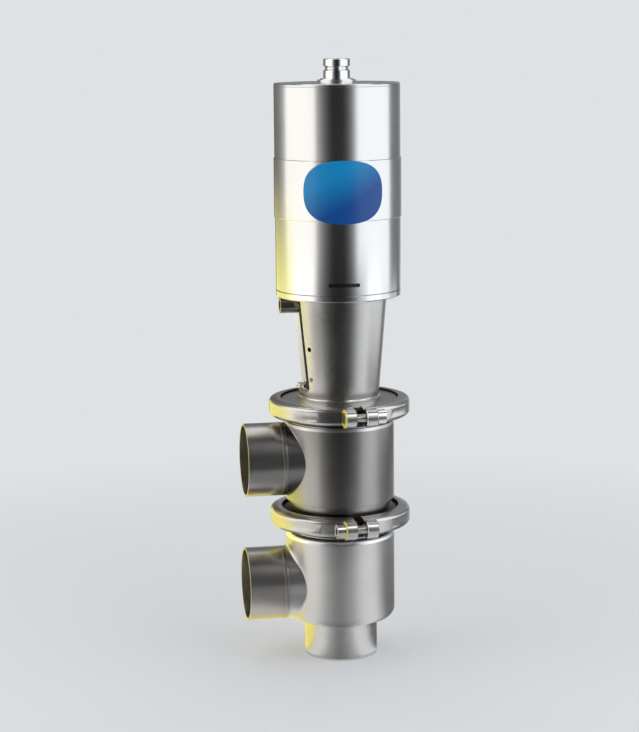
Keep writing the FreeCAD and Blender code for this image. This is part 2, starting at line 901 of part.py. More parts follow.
def actuator_bottom_cover():
    body = new_piece("actuator_bottom_cover")
    turned(
        body,
        [
            (d.rod_radius + d.closure_web_gap, d.actuator_base_height),
            (d.actuator_radius - d.base_rim_bevel, d.actuator_base_height),
            (d.actuator_radius, d.actuator_base_height + d.base_rim_bevel),
            (d.actuator_radius, rim_top),
            (barrel_bore, rim_top),
            (barrel_bore, wire_low - d.wire_room),
            (wire_inner - d.wire_room, wire_low - d.wire_room),
            (wire_inner - d.wire_room, wire_high + d.wire_room),
            (barrel_bore, wire_high + d.wire_room),
            (barrel_bore, seal_low),
            (cover_seal_inner, seal_low),
            (cover_seal_inner, seal_high),
            (barrel_bore, seal_high),
            (barrel_bore, spigot_top),
            (barrel_bore - d.base_pocket_wall, spigot_top),
            (barrel_bore - d.base_pocket_wall, spigot_top - d.base_pocket_depth),
            (d.base_hub_radius, spigot_top - d.base_pocket_depth),
            (d.base_hub_radius, spigot_top),
            (bush_outer, spigot_top),
            (bush_outer, bush_low),
            (d.rod_radius + d.closure_web_gap, bush_low),
        ],
    )
    screw_hole = new_sketch(body, "XY_Plane", (0, 0, d.actuator_base_height))
    across = d.lantern_screw_circle * DIAGONAL
    draw_circle(screw_hole, d.screw_radius, across, across)
    hole = pocketed(body, screw_hole, d.screw_bite, reverse=True)
    repeated(body, hole, 4)
    way = new_sketch(body, "XY_Plane", (-d.air_way_offset, 0, d.actuator_base_height))
    draw_circle(way, d.air_way_radius)
    pocketed(body, way, d.base_rim_height + d.base_spigot_height, reverse=True)


actuator_bottom_cover()
wire_outer = wire_inner + d.wire_thickness
ring("retaining_wire", wire_inner, wire_outer, wire_low, wire_high)
ring("bottom_cover_seal", cover_seal_inner, barrel_bore, seal_low, seal_high)
rod_bore = d.rod_radius + d.shaft_fit
ring("lower_rod_bush", rod_bore, bush_outer, bush_low, bush_low + d.bush_length)
rod_seal_low = bush_low + d.bush_length
ring("lower_rod_seal", rod_bore, bush_outer, rod_seal_low, rod_seal_low + d.rod_seal_height)

# Barrel: drawn tube with an inner groove for the retaining wire and the slot through which the wire is fed.
barrel_top = rim_top + d.barrel_height


def slot_corner_edge(edge):
    """Picks the four radial corner edges of the wire slot."""
    if not isinstance(edge.Curve, Part.Line):
        return False
    middle = edge.CenterOfMass
    in_slot = wire_low.value - 1 < middle.z < wire_high.value + 1
    return in_slot and near(edge.Curve.Direction.z, 0)


def actuator_cylinder():
    body = ring("actuator_cylinder", barrel_bore, d.actuator_radius, rim_top, barrel_top)
    low = wire_low - d.wire_room
    high = wire_high + d.wire_room
    groove_outer = wire_outer + d.wire_room
    turn = d.wire_slot_turn - QUARTER
    outside = d.actuator_radius + d.actuator_wall
    slot = [(groove_outer, low), (outside, low), (outside, high), (groove_outer, high)]
    grooved(body, slot, angle=d.wire_slot_angle, swing=turn)
    rounded(body, slot_corner_edge, d.wire_thickness / 2)
    grooved(body, [(barrel_bore, low), (groove_outer, low), (groove_outer, high), (barrel_bore, high)])


actuator_cylinder()
sleeve_low = d.actuator_base_height + d.sleeve_start
sleeve_outer = d.actuator_radius + d.sleeve_thickness
ring("middle_sleeve", d.actuator_radius, sleeve_outer, sleeve_low, sleeve_low + d.sleeve_length)

# Top cover: bevelled rim welded on the barrel, with the hub that guides the upper rod.
cover_top = barrel_top + d.top_rim_height
hub_top = cover_top + d.top_hub_height
top_spigot_low = barrel_top - d.top_spigot_depth
top_hub_low = barrel_top - d.top_hub_depth
turned(
    new_piece("actuator_top_cover"),
    [
        (bush_outer, top_hub_low),
        (bush_outer + d.top_hub_wall, top_hub_low),
        (bush_outer + d.top_hub_wall, top_spigot_low),
        (barrel_bore, top_spigot_low),
        (barrel_bore, barrel_top),
        (d.actuator_radius, barrel_top),
        (d.actuator_radius, cover_top - d.top_rim_bevel),
        (d.actuator_radius - d.top_rim_bevel, cover_top),
        (d.top_hub_radius, cover_top),
        (d.top_hub_radius, hub_top),
        (bush_outer, hub_top),
    ],
)
ring("upper_rod_bush", rod_bore, bush_outer, top_hub_low, hub_top + d.top_bush_rise)

# Piston with its seal and guide band, held on the rod by a ring on each side.
piston_low = spigot_top + d.piston_clearance
piston_high = piston_low + d.piston_height
piston_radius = barrel_bore - d.piston_side_gap
spring_seat = piston_low + d.piston_web
piston_seal_low = piston_low + d.piston_seal_rise
piston_seal_high = piston_seal_low + d.piston_seal_height
band_high = piston_high - d.piston_band_drop
band_low = band_high - d.piston_band_height
piston_seal_inner = piston_radius - d.piston_seal_depth
band_inner = piston_radius - d.piston_band_depth
sliding_radius = barrel_bore - d.shaft_fit
turned(
    new_piece("piston"),
    [
        (d.rod_radius, piston_low),
        (piston_radius, piston_low),
        (piston_radius, piston_seal_low),
        (piston_seal_inner, piston_seal_low),
        (piston_seal_inner, piston_seal_high),
        (piston_radius, piston_seal_high),
        (piston_radius, band_low),
        (band_inner, band_low),
        (band_inner, band_high),
        (piston_radius, band_high),
        (piston_radius, piston_high),
        (piston_radius - d.piston_skirt, piston_high),
        (piston_radius - d.piston_skirt, spring_seat),
        (d.piston_hub_radius, spring_seat),
        (d.piston_hub_radius, piston_high),
        (d.rod_radius, piston_high),
    ],
)
ring("piston_seal", piston_seal_inner, sliding_radius, piston_seal_low, piston_seal_high)
ring("piston_guide_band", band_inner, sliding_radius, band_low, band_high)


def piston_retaining_rings():
    body = new_piece("piston_retaining_rings")
    inner = d.rod_radius - d.piston_ring_bite
    outer = inner + d.piston_ring_width
    for low in (piston_low - d.piston_ring_thickness, piston_high):
        high = low + d.piston_ring_thickness
        turned(body, [(inner, low), (outer, low), (outer, high), (inner, high)])


piston_retaining_rings()

# Piston rod: one ground bar from the coupling through the piston to the grooved end above the actuator.
rod_low = stem_head_top
rod_head_top = rod_low + d.head_height
rod_neck_top = rod_head_top + d.coupling_lip
rod_neck = d.stem_radius - d.neck_bite
groove_top = d.rod_top - d.rod_groove_drop
groove_low = groove_top - d.rod_groove_height
ring_seat = d.rod_radius - d.piston_ring_bite
turned(
    new_piece("piston_rod"),
    [
        (ZERO, rod_low),
        (d.stem_radius, rod_low),
        (d.stem_radius, rod_head_top),
        (rod_neck, rod_head_top),
        (rod_neck, rod_neck_top),
        (d.rod_radius, rod_neck_top),
        (d.rod_radius, piston_low - d.piston_ring_thickness),
        (ring_seat, piston_low - d.piston_ring_thickness),
        (ring_seat, piston_low),
        (d.rod_radius, piston_low),
        (d.rod_radius, piston_high),
        (ring_seat, piston_high),
        (ring_seat, piston_high + d.piston_ring_thickness),
        (d.rod_radius, piston_high + d.piston_ring_thickness),
        (d.rod_radius, groove_low),
        (d.rod_radius - d.rod_groove_depth, groove_low),
        (d.rod_radius - d.rod_groove_depth, groove_top),
        (d.rod_radius, groove_top),
        (d.rod_radius, d.rod_top - d.rod_end_bevel),
        (d.rod_radius - d.rod_end_bevel, d.rod_top),
        (ZERO, d.rod_top),
    ],
)


def actuator_spring():
    """Round wire coiled between the piston's web and the top cover."""
    body = new_piece("actuator_spring")
    low = spring_seat + d.running_gap + d.spring_wire
    high = top_spigot_low - d.spring_wire
    wire = new_sketch(body, "XZ_Plane")
    draw_circle(wire, d.spring_wire, d.spring_radius, low)
    coil = body.newObject("PartDesign::AdditiveHelix", f"{body.Name}_coil")
    coil.Profile = wire
    coil.ReferenceAxis = (wire, ["V_Axis"])
    coil.Mode = "height-turns-angle"
    bind(coil, "Height", high - low)
    bind(coil, "Turns", d.spring_turns)
    document.recompute()


actuator_spring()

# Coupling: two half shells round the heads of stem and rod, drawn together by two screws.
coupling_top = rod_neck_top
cavity = d.stem_radius + d.coupling_room
lip_bore = stem_neck + d.coupling_room
screw_height = stem_head_top


def coupling_half(label, side):
    body = new_piece(label)
    turned(
        body,
        [
            (lip_bore, coupling_low),
            (d.coupling_radius, coupling_low),
            (d.coupling_radius, coupling_top),
            (lip_bore, coupling_top),
            (lip_bore, rod_head_top),
            (cavity, rod_head_top),
            (cavity, coupling_lip_top),
            (lip_bore, coupling_lip_top),
        ],
    )
    reach = d.coupling_radius
    split = new_sketch(body, "XY_Plane", (0, 0, coupling_low))
    edge = d.coupling_split / 2
    if side < 0:
        draw_box(split, -reach, reach, -edge, reach)
    else:
        draw_box(split, -reach, reach, -reach, edge)
    pocketed(body, split, coupling_top - coupling_low, reverse=True)
    screws = new_sketch(body, "XZ_Plane")
    for offset in (-d.coupling_screw_offset, d.coupling_screw_offset):
        draw_circle(screws, d.coupling_screw_radius, offset, screw_height)
    pocketed(body, screws, d.coupling_radius * 2, both_ways=True)
    if side < 0:
        seats = new_sketch(body, "XZ_Plane", (0, 0, d.coupling_head_seat))
        for offset in (-d.coupling_screw_offset, d.coupling_screw_offset):
            draw_circle(seats, d.coupling_head_radius + d.coupling_room, offset, screw_height)
        pocketed(body, seats, d.coupling_radius, reverse=True)


def coupling_screws():
    body = new_piece("coupling_screws")
    head_end = -(d.coupling_head_seat + d.coupling_head_height)
    tip = d.coupling_screw_length - d.coupling_head_seat
    for offset in (-d.coupling_screw_offset, d.coupling_screw_offset):
        turned(
            body,
            [
                (ZERO, head_end),
                (d.coupling_head_radius, head_end),
                (d.coupling_head_radius, -d.coupling_head_seat),
                (d.coupling_screw_radius, -d.coupling_head_seat),
                (d.coupling_screw_radius, tip),
                (ZERO, tip),
            ],
            shift=(offset, 0, screw_height),
            role="XY_Plane",
        )


coupling_half("coupling_front_half", -1)
coupling_half("coupling_rear_half", 1)
coupling_screws()

# Clamps: two V-grooved halves, a forked link between two hinge pins at the back, and a cap screw through
# round lugs at the front. Each is drawn about its own middle plane with the screw on -Y, then put in place.
lip_half = d.clamp_lip_height / 2
band_half = d.clamp_band / 2
root_radius = d.ferrule_radius + d.clamp_root_gap
groove_half = stack_half + d.ferrule_rim + d.clamp_fit
mouth_half = groove_half + (d.ferrule_radius - d.clamp_bore) * d.ferrule_slope
gap_angle = d.lug_gap / 2 / d.clamp_radius * DEGREES
half_end = HALF_TURN - d.hinge_angle - d.hinge_end_angle
link_start = half_end + d.hinge_gap / d.clamp_radius * DEGREES
ear_height = d.clamp_lip_height + d.hinge_ear_rise * 2
CLAMP_SECTION = [
    (d.clamp_bore, mouth_half),
    (d.clamp_bore, lip_half),
    (d.clamp_lip_radius, lip_half),
    (d.clamp_radius, band_half),
    (d.clamp_radius, -band_half),
    (d.clamp_lip_radius, -lip_half),
    (d.clamp_bore, -lip_half),
    (d.clamp_bore, -mouth_half),
    (d.ferrule_radius, -groove_half),
    (root_radius, -groove_half),
    (root_radius, groove_half),
    (d.ferrule_radius, groove_half),
]


def clamp_arc(body, start, end):
    """The clamp's section spun between two angles, counted from -Y towards +X."""
    middle = (start + end) / 2
    turned(body, CLAMP_SECTION, angle=end - start, swing=middle - QUARTER)
    shoulders = ring_edge(
        (d.clamp_lip_radius, lip_half),
        (d.clamp_lip_radius, -lip_half),
        (d.clamp_radius, band_half),
        (d.clamp_radius, -band_half),
    )
    rounded(body, shoulders, d.clamp_edge_round)


def place_clamp(body, height, turned_over):
    """Sets a clamp's piece at its joint, upright or turned over about the screw's radius."""
    over = FreeCAD.Rotation(UPRIGHT, HALF_TURN if turned_over else 0)
    round_axis = FreeCAD.Rotation(UP, d.clamp_turn.value)
    place = FreeCAD.Placement(FreeCAD.Vector(0, 0, height.value), round_axis.multiply(over))
    body.Placement = place
    body.setExpression("Placement.Base.z", height.text)


def lug_end_edge(edge):
    """Picks the round outer edges of a lug barrel."""
    return isinstance(edge.Curve, Part.Circle) and near(edge.Curve.Radius, d.lug_radius.value)


def clamp_half(label, side, bore):
    """One half; side is 1 for the half on +X and -1 for the other."""
    body = new_piece(label)
    if side > 0:
        clamp_arc(body, gap_angle, half_end)
    else:
        clamp_arc(body, -half_end, -gap_angle)
    lug_start = d.lug_gap / 2 if side > 0 else -(d.lug_gap / 2 + d.lug_length)
    lug = new_sketch(body, "YZ_Plane", (0, 0, lug_start))
    draw_circle(lug, d.lug_radius, -d.lug_offset, ZERO)
    padded(body, lug, d.lug_length)
    bevelled(body, lug_end_edge, d.lug_bevel)
    hole = new_sketch(body, "YZ_Plane", (0, 0, lug_start))
    draw_circle(hole, bore, -d.lug_offset, ZERO)
    pocketed(body, hole, d.lug_length, reverse=True)
    if side > 0:
        head_room = new_sketch(body, "YZ_Plane", (0, 0, lug_start + d.lug_length))
        draw_circle(head_room, d.clamp_head_radius + d.hinge_gap, -d.lug_offset, ZERO)
        pocketed(body, head_room, d.clamp_head_height, reverse=True)
    pin_angle = (HALF_TURN - d.hinge_angle) * side
    tongue = new_sketch(body, "XY_Plane", swing=pin_angle, axis=UP)
    near_side = -d.hinge_tongue_length if side > 0 else ZERO
    far_side = ZERO if side > 0 else d.hinge_tongue_length
    draw_box(tongue, near_side, far_side, -d.clamp_radius + d.clamp_edge_round, -root_radius)
    padded(body, tongue, d.hinge_tongue, both_ways=True)
    knuckle = new_sketch(body, "XY_Plane", swing=pin_angle, axis=UP)
    draw_circle(knuckle, d.hinge_tongue_radius, ZERO, -d.hinge_offset)
    padded(body, knuckle, d.hinge_tongue, both_ways=True)
    pin_hole = new_sketch(body, "XY_Plane", swing=pin_angle, axis=UP)
    draw_circle(pin_hole, d.hinge_pin_radius + d.shaft_fit, ZERO, -d.hinge_offset)
    pocketed(body, pin_hole, d.hinge_tongue, both_ways=True)
    return body


def clamp_link(label):
    body = new_piece(label)
    clamp_arc(body, link_start, FULL_TURN - link_start)
    for side in (1, -1):
        pin_angle = (HALF_TURN - d.hinge_angle) * side
        ear = new_sketch(body, "XY_Plane", swing=pin_angle, axis=UP)
        draw_circle(ear, d.hinge_tongue_radius, ZERO, -d.hinge_offset)
        padded(body, ear, ear_height, both_ways=True)
        room = d.hinge_tongue_radius + d.hinge_gap
        slot = new_sketch(body, "XY_Plane", swing=pin_angle, axis=UP)
        draw_circle(slot, room, ZERO, -d.hinge_offset)
        pocketed(body, slot, d.hinge_tongue + d.hinge_gap * 2, both_ways=True)
        mouth = new_sketch(body, "XY_Plane", swing=pin_angle, axis=UP)
        near_side = -d.hinge_tongue_length if side > 0 else ZERO
        far_side = ZERO if side > 0 else d.hinge_tongue_length
        draw_box(mouth, near_side, far_side, -d.hinge_offset - room, -d.clamp_bore)
        pocketed(body, mouth, d.hinge_tongue + d.hinge_gap * 2, both_ways=True)
        pin_hole = new_sketch(body, "XY_Plane", swing=pin_angle, axis=UP)
        draw_circle(pin_hole, d.hinge_pin_radius + d.shaft_fit, ZERO, -d.hinge_offset)
        pocketed(body, pin_hole, ear_height, both_ways=True)
    return body


def clamp_pins(label):
    """Headed pins through the link's ears and the halves' tongues."""
    body = new_piece(label)
    ear_half = ear_height / 2
    head_end = ear_half + d.hinge_head_height
    sine = math.sin(math.radians(d.hinge_angle.value))
    cosine = math.cos(math.radians(d.hinge_angle.value))
    for side in (1, -1):
        turned(
            body,
            [
                (ZERO, -head_end),
                (d.hinge_head_radius, -head_end),
                (d.hinge_head_radius, -ear_half),
                (d.hinge_pin_radius, -ear_half),
                (d.hinge_pin_radius, ear_half),
                (d.hinge_head_radius, ear_half),
                (d.hinge_head_radius, head_end),
                (ZERO, head_end),
            ],
            shift=(d.hinge_offset * sine * side, 0, -d.hinge_offset * cosine),
        )
    return body


def clamp_screw(label):
    """Cap screw along the lugs, with its head against the +X lug."""
    body = new_piece(label)
    lug_end = d.lug_gap / 2 + d.lug_length
    turned(
        body,
        [
            (-lug_end, ZERO),
            (lug_end + d.clamp_head_height, ZERO),
            (lug_end + d.clamp_head_height, d.clamp_head_radius),
            (lug_end, d.clamp_head_radius),
            (lug_end, d.clamp_screw_radius),
            (-lug_end, d.clamp_screw_radius),
        ],
        shift=(0, 0, d.lug_offset),
        axis="H_Axis",
    )
    socket = new_sketch(body, "YZ_Plane", (-d.lug_offset, 0, lug_end + d.clamp_head_height))
    draw_outline(socket, hexagon(d.clamp_socket_width))
    pocketed(body, socket, d.clamp_socket_depth)
    return body


def clamp_bush(label):
    """Threaded bush in the lug on -X."""
    body = new_piece(label)
    lug_end = d.lug_gap / 2 + d.lug_length
    sketch = new_sketch(body, "YZ_Plane", (-d.lug_offset, 0, -lug_end))
    draw_circle(sketch, d.clamp_bush_radius)
    draw_circle(sketch, d.clamp_screw_radius)
    padded(body, sketch, d.lug_length)
    return body


def clamp(name, height, turned_over):
    parts = [
        clamp_half(f"{name}_screw_half", 1, d.clamp_screw_radius + d.shaft_fit),
        clamp_half(f"{name}_bush_half", -1, d.clamp_bush_radius),
        clamp_link(f"{name}_hinge_link"),
        clamp_pins(f"{name}_hinge_pins"),
        clamp_screw(f"{name}_screw"),
        clamp_bush(f"{name}_bush"),
    ]
    for body in parts:
        place_clamp(body, height, turned_over)


clamp("lower_clamp", d.lower_joint_height, True)
clamp("upper_clamp", d.upper_joint_height, False)

document.recompute()
for item in document.Objects:
    if "Invalid" in item.State or "Error" in item.State:
        raise RuntimeError(f"{item.Label} failed: {item.State}")
for body in pieces:
    if body.Shape.isNull() or not body.Shape.isValid() or not body.Shape.Solids:
        raise RuntimeError(f"{body.Label} has no valid solid")
os.makedirs("parts", exist_ok=True)
for body in pieces:
    body.Shape.exportStep(f"parts/{body.Label}.step")
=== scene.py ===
import json
import math

import bmesh
import bpy
import numpy as np
from mathutils import Matrix, Vector

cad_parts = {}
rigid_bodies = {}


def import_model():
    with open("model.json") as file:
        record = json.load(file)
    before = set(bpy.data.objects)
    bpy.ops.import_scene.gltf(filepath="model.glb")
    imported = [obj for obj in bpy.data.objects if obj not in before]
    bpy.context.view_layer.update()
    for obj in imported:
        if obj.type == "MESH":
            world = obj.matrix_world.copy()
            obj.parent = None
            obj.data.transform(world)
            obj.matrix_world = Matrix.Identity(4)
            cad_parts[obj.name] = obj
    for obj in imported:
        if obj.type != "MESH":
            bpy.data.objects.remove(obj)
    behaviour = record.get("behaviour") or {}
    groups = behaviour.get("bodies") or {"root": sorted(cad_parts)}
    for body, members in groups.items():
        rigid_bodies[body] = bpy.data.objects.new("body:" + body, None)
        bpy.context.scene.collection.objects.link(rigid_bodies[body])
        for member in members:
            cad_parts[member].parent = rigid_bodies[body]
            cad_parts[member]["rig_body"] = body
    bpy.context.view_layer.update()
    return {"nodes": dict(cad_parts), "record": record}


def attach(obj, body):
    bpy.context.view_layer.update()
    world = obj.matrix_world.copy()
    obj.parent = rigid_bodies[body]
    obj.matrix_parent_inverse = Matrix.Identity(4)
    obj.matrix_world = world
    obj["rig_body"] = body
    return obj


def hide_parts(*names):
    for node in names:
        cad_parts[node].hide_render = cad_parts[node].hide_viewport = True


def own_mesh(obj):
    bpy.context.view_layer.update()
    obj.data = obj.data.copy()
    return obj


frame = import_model()

# Studio: a seamless pale floor that runs into a pale room, a tall and a low soft box at each side, one above
# and behind, and a small one above in front. Black cloth and pale boards, which only the metal sees, give the
# steel its dark and bright stripes, and a yellow gel stands low behind on the left.


class Value:
    """One socket of a material, so that its maths is written as plain expressions."""

    def __init__(self, tree, socket):
        self.tree = tree
        self.socket = socket

    def _math(self, operation, first, second, clamp=False):
        node = self.tree.nodes.new("ShaderNodeMath")
        node.operation = operation
        node.use_clamp = clamp
        for place, number in zip(node.inputs, (first, second)):
            if isinstance(number, Value):
                self.tree.links.new(number.socket, place)
            else:
                place.default_value = number
        return Value(self.tree, node.outputs[0])

    def __add__(self, other):
        return self._math("ADD", self, other)

    def __radd__(self, other):
        return self._math("ADD", other, self)

    def __sub__(self, other):
        return self._math("SUBTRACT", self, other)

    def __rsub__(self, other):
        return self._math("SUBTRACT", other, self)

    def __mul__(self, other):
        return self._math("MULTIPLY", self, other)

    def __abs__(self):
        return self._math("ABSOLUTE", self, 0.0)

    def either(self, other):
        return self._math("ADD", self, other, clamp=True)


class Recipe:
    """A material or a world in the making: node() adds any node, and set() fills its shader's sockets."""

    def __init__(self, name, group="materials", shader="Principled BSDF"):
        self.block = getattr(bpy.data, group).new(name)
        self.block.use_nodes = True
        self.tree = self.block.node_tree
        self.shader = self.tree.nodes[shader]

    def put(self, place, value):
        if isinstance(value, Value):
            self.tree.links.new(value.socket, place)
        else:
            place.default_value = value

    def node(self, kind, settings=None, output=0, **sockets):
        made = self.tree.nodes.new(kind)
        for name, value in (settings or {}).items():
            setattr(made, name, value)
        for name, value in sockets.items():
            self.put(made.inputs[name.replace("_", " ")], value)
        return Value(self.tree, made.outputs[output])

    def set(self, **sockets):
        for name, value in sockets.items():
            self.put(self.shader.inputs[name.replace("_", " ")], value)

    def place(self, scale=(1, 1, 1)):
        """The piece's own coordinates, in metres, stretched by a scale for each axis."""
        where = self.node("ShaderNodeTexCoord", output=3)
        return self.node("ShaderNodeMapping", Vector=where, Scale=scale)

    def along(self, axis):
        """How far along X, Y or Z a point of the piece is, in metres."""
        return self.node("ShaderNodeSeparateXYZ", Vector=self.place(), output="XYZ".index(axis))

    def noise(self, scale, detail=3.0, roughness=0.55):
        """A number from 0 to 1 that wanders over the piece."""
        where = self.place(scale)
        return self.node("ShaderNodeTexNoise", Vector=where, Scale=1.0, Detail=detail, Roughness=roughness)

    def ramp(self, value, low, high):
        """The value drawn out so that low becomes 0 and high becomes 1."""
        return self.node("ShaderNodeMapRange", Value=value, From_Min=low, From_Max=high)

    def mix(self, factor, first, second):
        """A colour between two colours."""
        made = self.tree.nodes.new("ShaderNodeMix")
        made.data_type = "RGBA"
        self.put(made.inputs["Factor"], factor)
        for place, colour in ((6, first), (7, second)):
            self.put(made.inputs[place], colour if isinstance(colour, Value) else (*colour, 1))
        return Value(self.tree, made.outputs[2])

    def bump(self, height, distance, strength=1.0):
        self.set(Normal=self.node("ShaderNodeBump", Height=height, Distance=distance, Strength=strength))

    def seen_as_backdrop(self):
        """1 for what the camera, metal and glass see, 0 for the light that falls on things."""
        kinds = ("Is Camera Ray", "Is Glossy Ray", "Is Transmission Ray")
        camera_ray, glossy_ray, clear_ray = (self.node("ShaderNodeLightPath", output=kind) for kind in kinds)
        return camera_ray.either(glossy_ray).either(clear_ray)


def linked(name, data):
    made = bpy.data.objects.new(name, data)
    bpy.context.scene.collection.objects.link(made)
    return made


def standing(azimuth, distance, height):
    """A place round the valve at an azimuth in degrees from the camera's side, positive to the right."""
    turn = math.radians(azimuth) + CAMERA_TURN
    return Vector((math.sin(turn) * distance, -math.cos(turn) * distance, height))


def flat_square(name, reach, finish):
    """A square sheet that lies flat about the origin."""
    mesh = bpy.data.meshes.new(name)
    corners = [(x * reach, y * reach, 0) for x, y in ((-1, -1), (1, -1), (1, 1), (-1, 1))]
    mesh.from_pydata(corners, [], [(0, 1, 2, 3)])
    mesh.materials.append(finish)
    return linked(name, mesh)


CAMERA_TURN = math.radians(-10.4)
BACKDROP = (0.74, 0.76, 0.78)
ROOM = (0.20, 0.21, 0.23)
FLOOR_REACH = 30.0

floor_paint = Recipe("floor_paint")
floor_paint.set(Base_Color=(0.80, 0.81, 0.82, 1), Roughness=0.9, Specular_IOR_Level=0.0)
away = floor_paint.node("ShaderNodeVectorMath", {"operation": "LENGTH"}, output=1, Vector=floor_paint.place())
lift = floor_paint.ramp(away, -0.45, 0.9) * floor_paint.seen_as_backdrop()
even_tone = floor_paint.node("ShaderNodeEmission", Color=(*BACKDROP, 1))
blended = floor_paint.tree.nodes.new("ShaderNodeMixShader")
plain_paint = Value(floor_paint.tree, floor_paint.shader.outputs[0])
for place, value in zip(blended.inputs, (lift, plain_paint, even_tone)):
    floor_paint.put(place, value)
surface = floor_paint.tree.nodes["Material Output"].inputs["Surface"]
floor_paint.put(surface, Value(floor_paint.tree, blended.outputs[0]))
flat_square("floor", FLOOR_REACH, floor_paint.block)

room = Recipe("room", "worlds", "Background")
room.set(Color=room.mix(room.seen_as_backdrop(), ROOM, BACKDROP))
bpy.context.scene.world = room.block


def soft_box(name, colour, radiance, width, height, spot, aim):
    """A soft box at a place, turned to look at a height on the valve's axis."""
    lamp = bpy.data.lights.new(name, "AREA")
    lamp.shape = "RECTANGLE"
    lamp.size = width
    lamp.size_y = height
    lamp.energy = radiance * math.pi * width * height
    lamp.color = colour
    made = linked(name, lamp)
    made.location = spot
    made.rotation_euler = (Vector((0, 0, aim)) - spot).to_track_quat("-Z", "Y").to_euler()
    made.visible_camera = False


WARM_WHITE = (1.0, 0.985, 0.95)
COOL_WHITE = (0.91, 0.955, 1.0)
WHITE = (1.0, 1.0, 1.0)
soft_box("left_soft_box", WARM_WHITE, 1.26, 0.93, 1.08, standing(-71, 0.72, 0.79), 0.79)
soft_box("right_soft_box", COOL_WHITE, 1.27, 1.07, 1.08, standing(68.5, 0.72, 0.79), 0.79)
soft_box("left_low_box", WARM_WHITE, 1.12, 0.72, 0.268, standing(-70, 0.70, 0.14), 0.14)
soft_box("right_low_box", COOL_WHITE, 1.15, 0.54, 0.24, standing(60, 0.70, 0.15), 0.15)
soft_box("back_soft_box", WHITE, 1.30, 1.5, 1.2, standing(180, 0.55, 1.70), 0.0)
soft_box("front_top_box", WHITE, 1.8, 0.26, 0.42, standing(33, 0.62, 0.92), 0.2)


def cloth(name, glow=None):
    """The finish of a sheet: black cloth, or a gel or board that glows with a colour."""
    sheet = Recipe(name)
    sheet.set(Base_Color=(0.012, 0.012, 0.013, 1), Roughness=1.0, Specular_IOR_Level=0.0)
    if glow:
        sheet.set(Emission_Color=(*glow, 1), Emission_Strength=1.0)
    return sheet


def card(name, azimuth, distance, edges, height, fades, darkness=1.0, glow=None):
    """An upright sheet that metal alone sees, clear outside its edges and solid within them; edges gives the
    outer and inner edge at the left, then the inner and outer edge at the right."""
    sheet = cloth(name, glow)
    left_out, left_in, right_in, right_out = edges
    low, high = height
    low_fade, high_fade = fades
    across = sheet.along("X")
    clear = sheet.ramp(across, left_in, left_out) + sheet.ramp(across, right_in, right_out)
    upward = sheet.along("Z")
    solid = sheet.ramp(upward, low, low + low_fade) * sheet.ramp(upward, high, high - high_fade)
    sheet.set(Alpha=(1.0 - clear * clear) * solid * darkness)
    mesh = bpy.data.meshes.new(name)
    corners = [(left_out, 0, low), (right_out, 0, low), (right_out, 0, high), (left_out, 0, high)]
    mesh.from_pydata(corners, [], [(0, 1, 2, 3)])
    mesh.materials.append(sheet.block)
    made = linked(name, mesh)
    made.location = standing(azimuth, distance, 0)
    made.rotation_euler = (0, 0, math.radians(azimuth) + CAMERA_TURN)
    return made


def floor_card(name, reach, rise, fall, near, far, height, glow=None):
    """A flat sheet just over the floor, for metal only, solid between two ramps of azimuth in degrees; near
    and far give how solid it is close to the valve and one metre from it."""
    sheet = cloth(name, glow)
    share = sheet.node("ShaderNodeTexGradient", {"gradient_type": "RADIAL"}, Vector=sheet.place())
    turned = share * 360.0 - 180.0
    rising = 1.0 - sheet.ramp(turned, rise[1], rise[0])
    falling = 1.0 - sheet.ramp(turned, fall[0], fall[1])
    away = sheet.node("ShaderNodeVectorMath", {"operation": "LENGTH"}, output=1, Vector=sheet.place())
    depth = near + sheet.ramp(away, 0.35, 0.95) * (far - near)
    sheet.set(Alpha=rising * falling * depth)
    made = flat_square(name, reach, sheet.block)
    made.location.z = height
    made.rotation_euler = (0, 0, CAMERA_TURN - math.pi / 2)
    return made


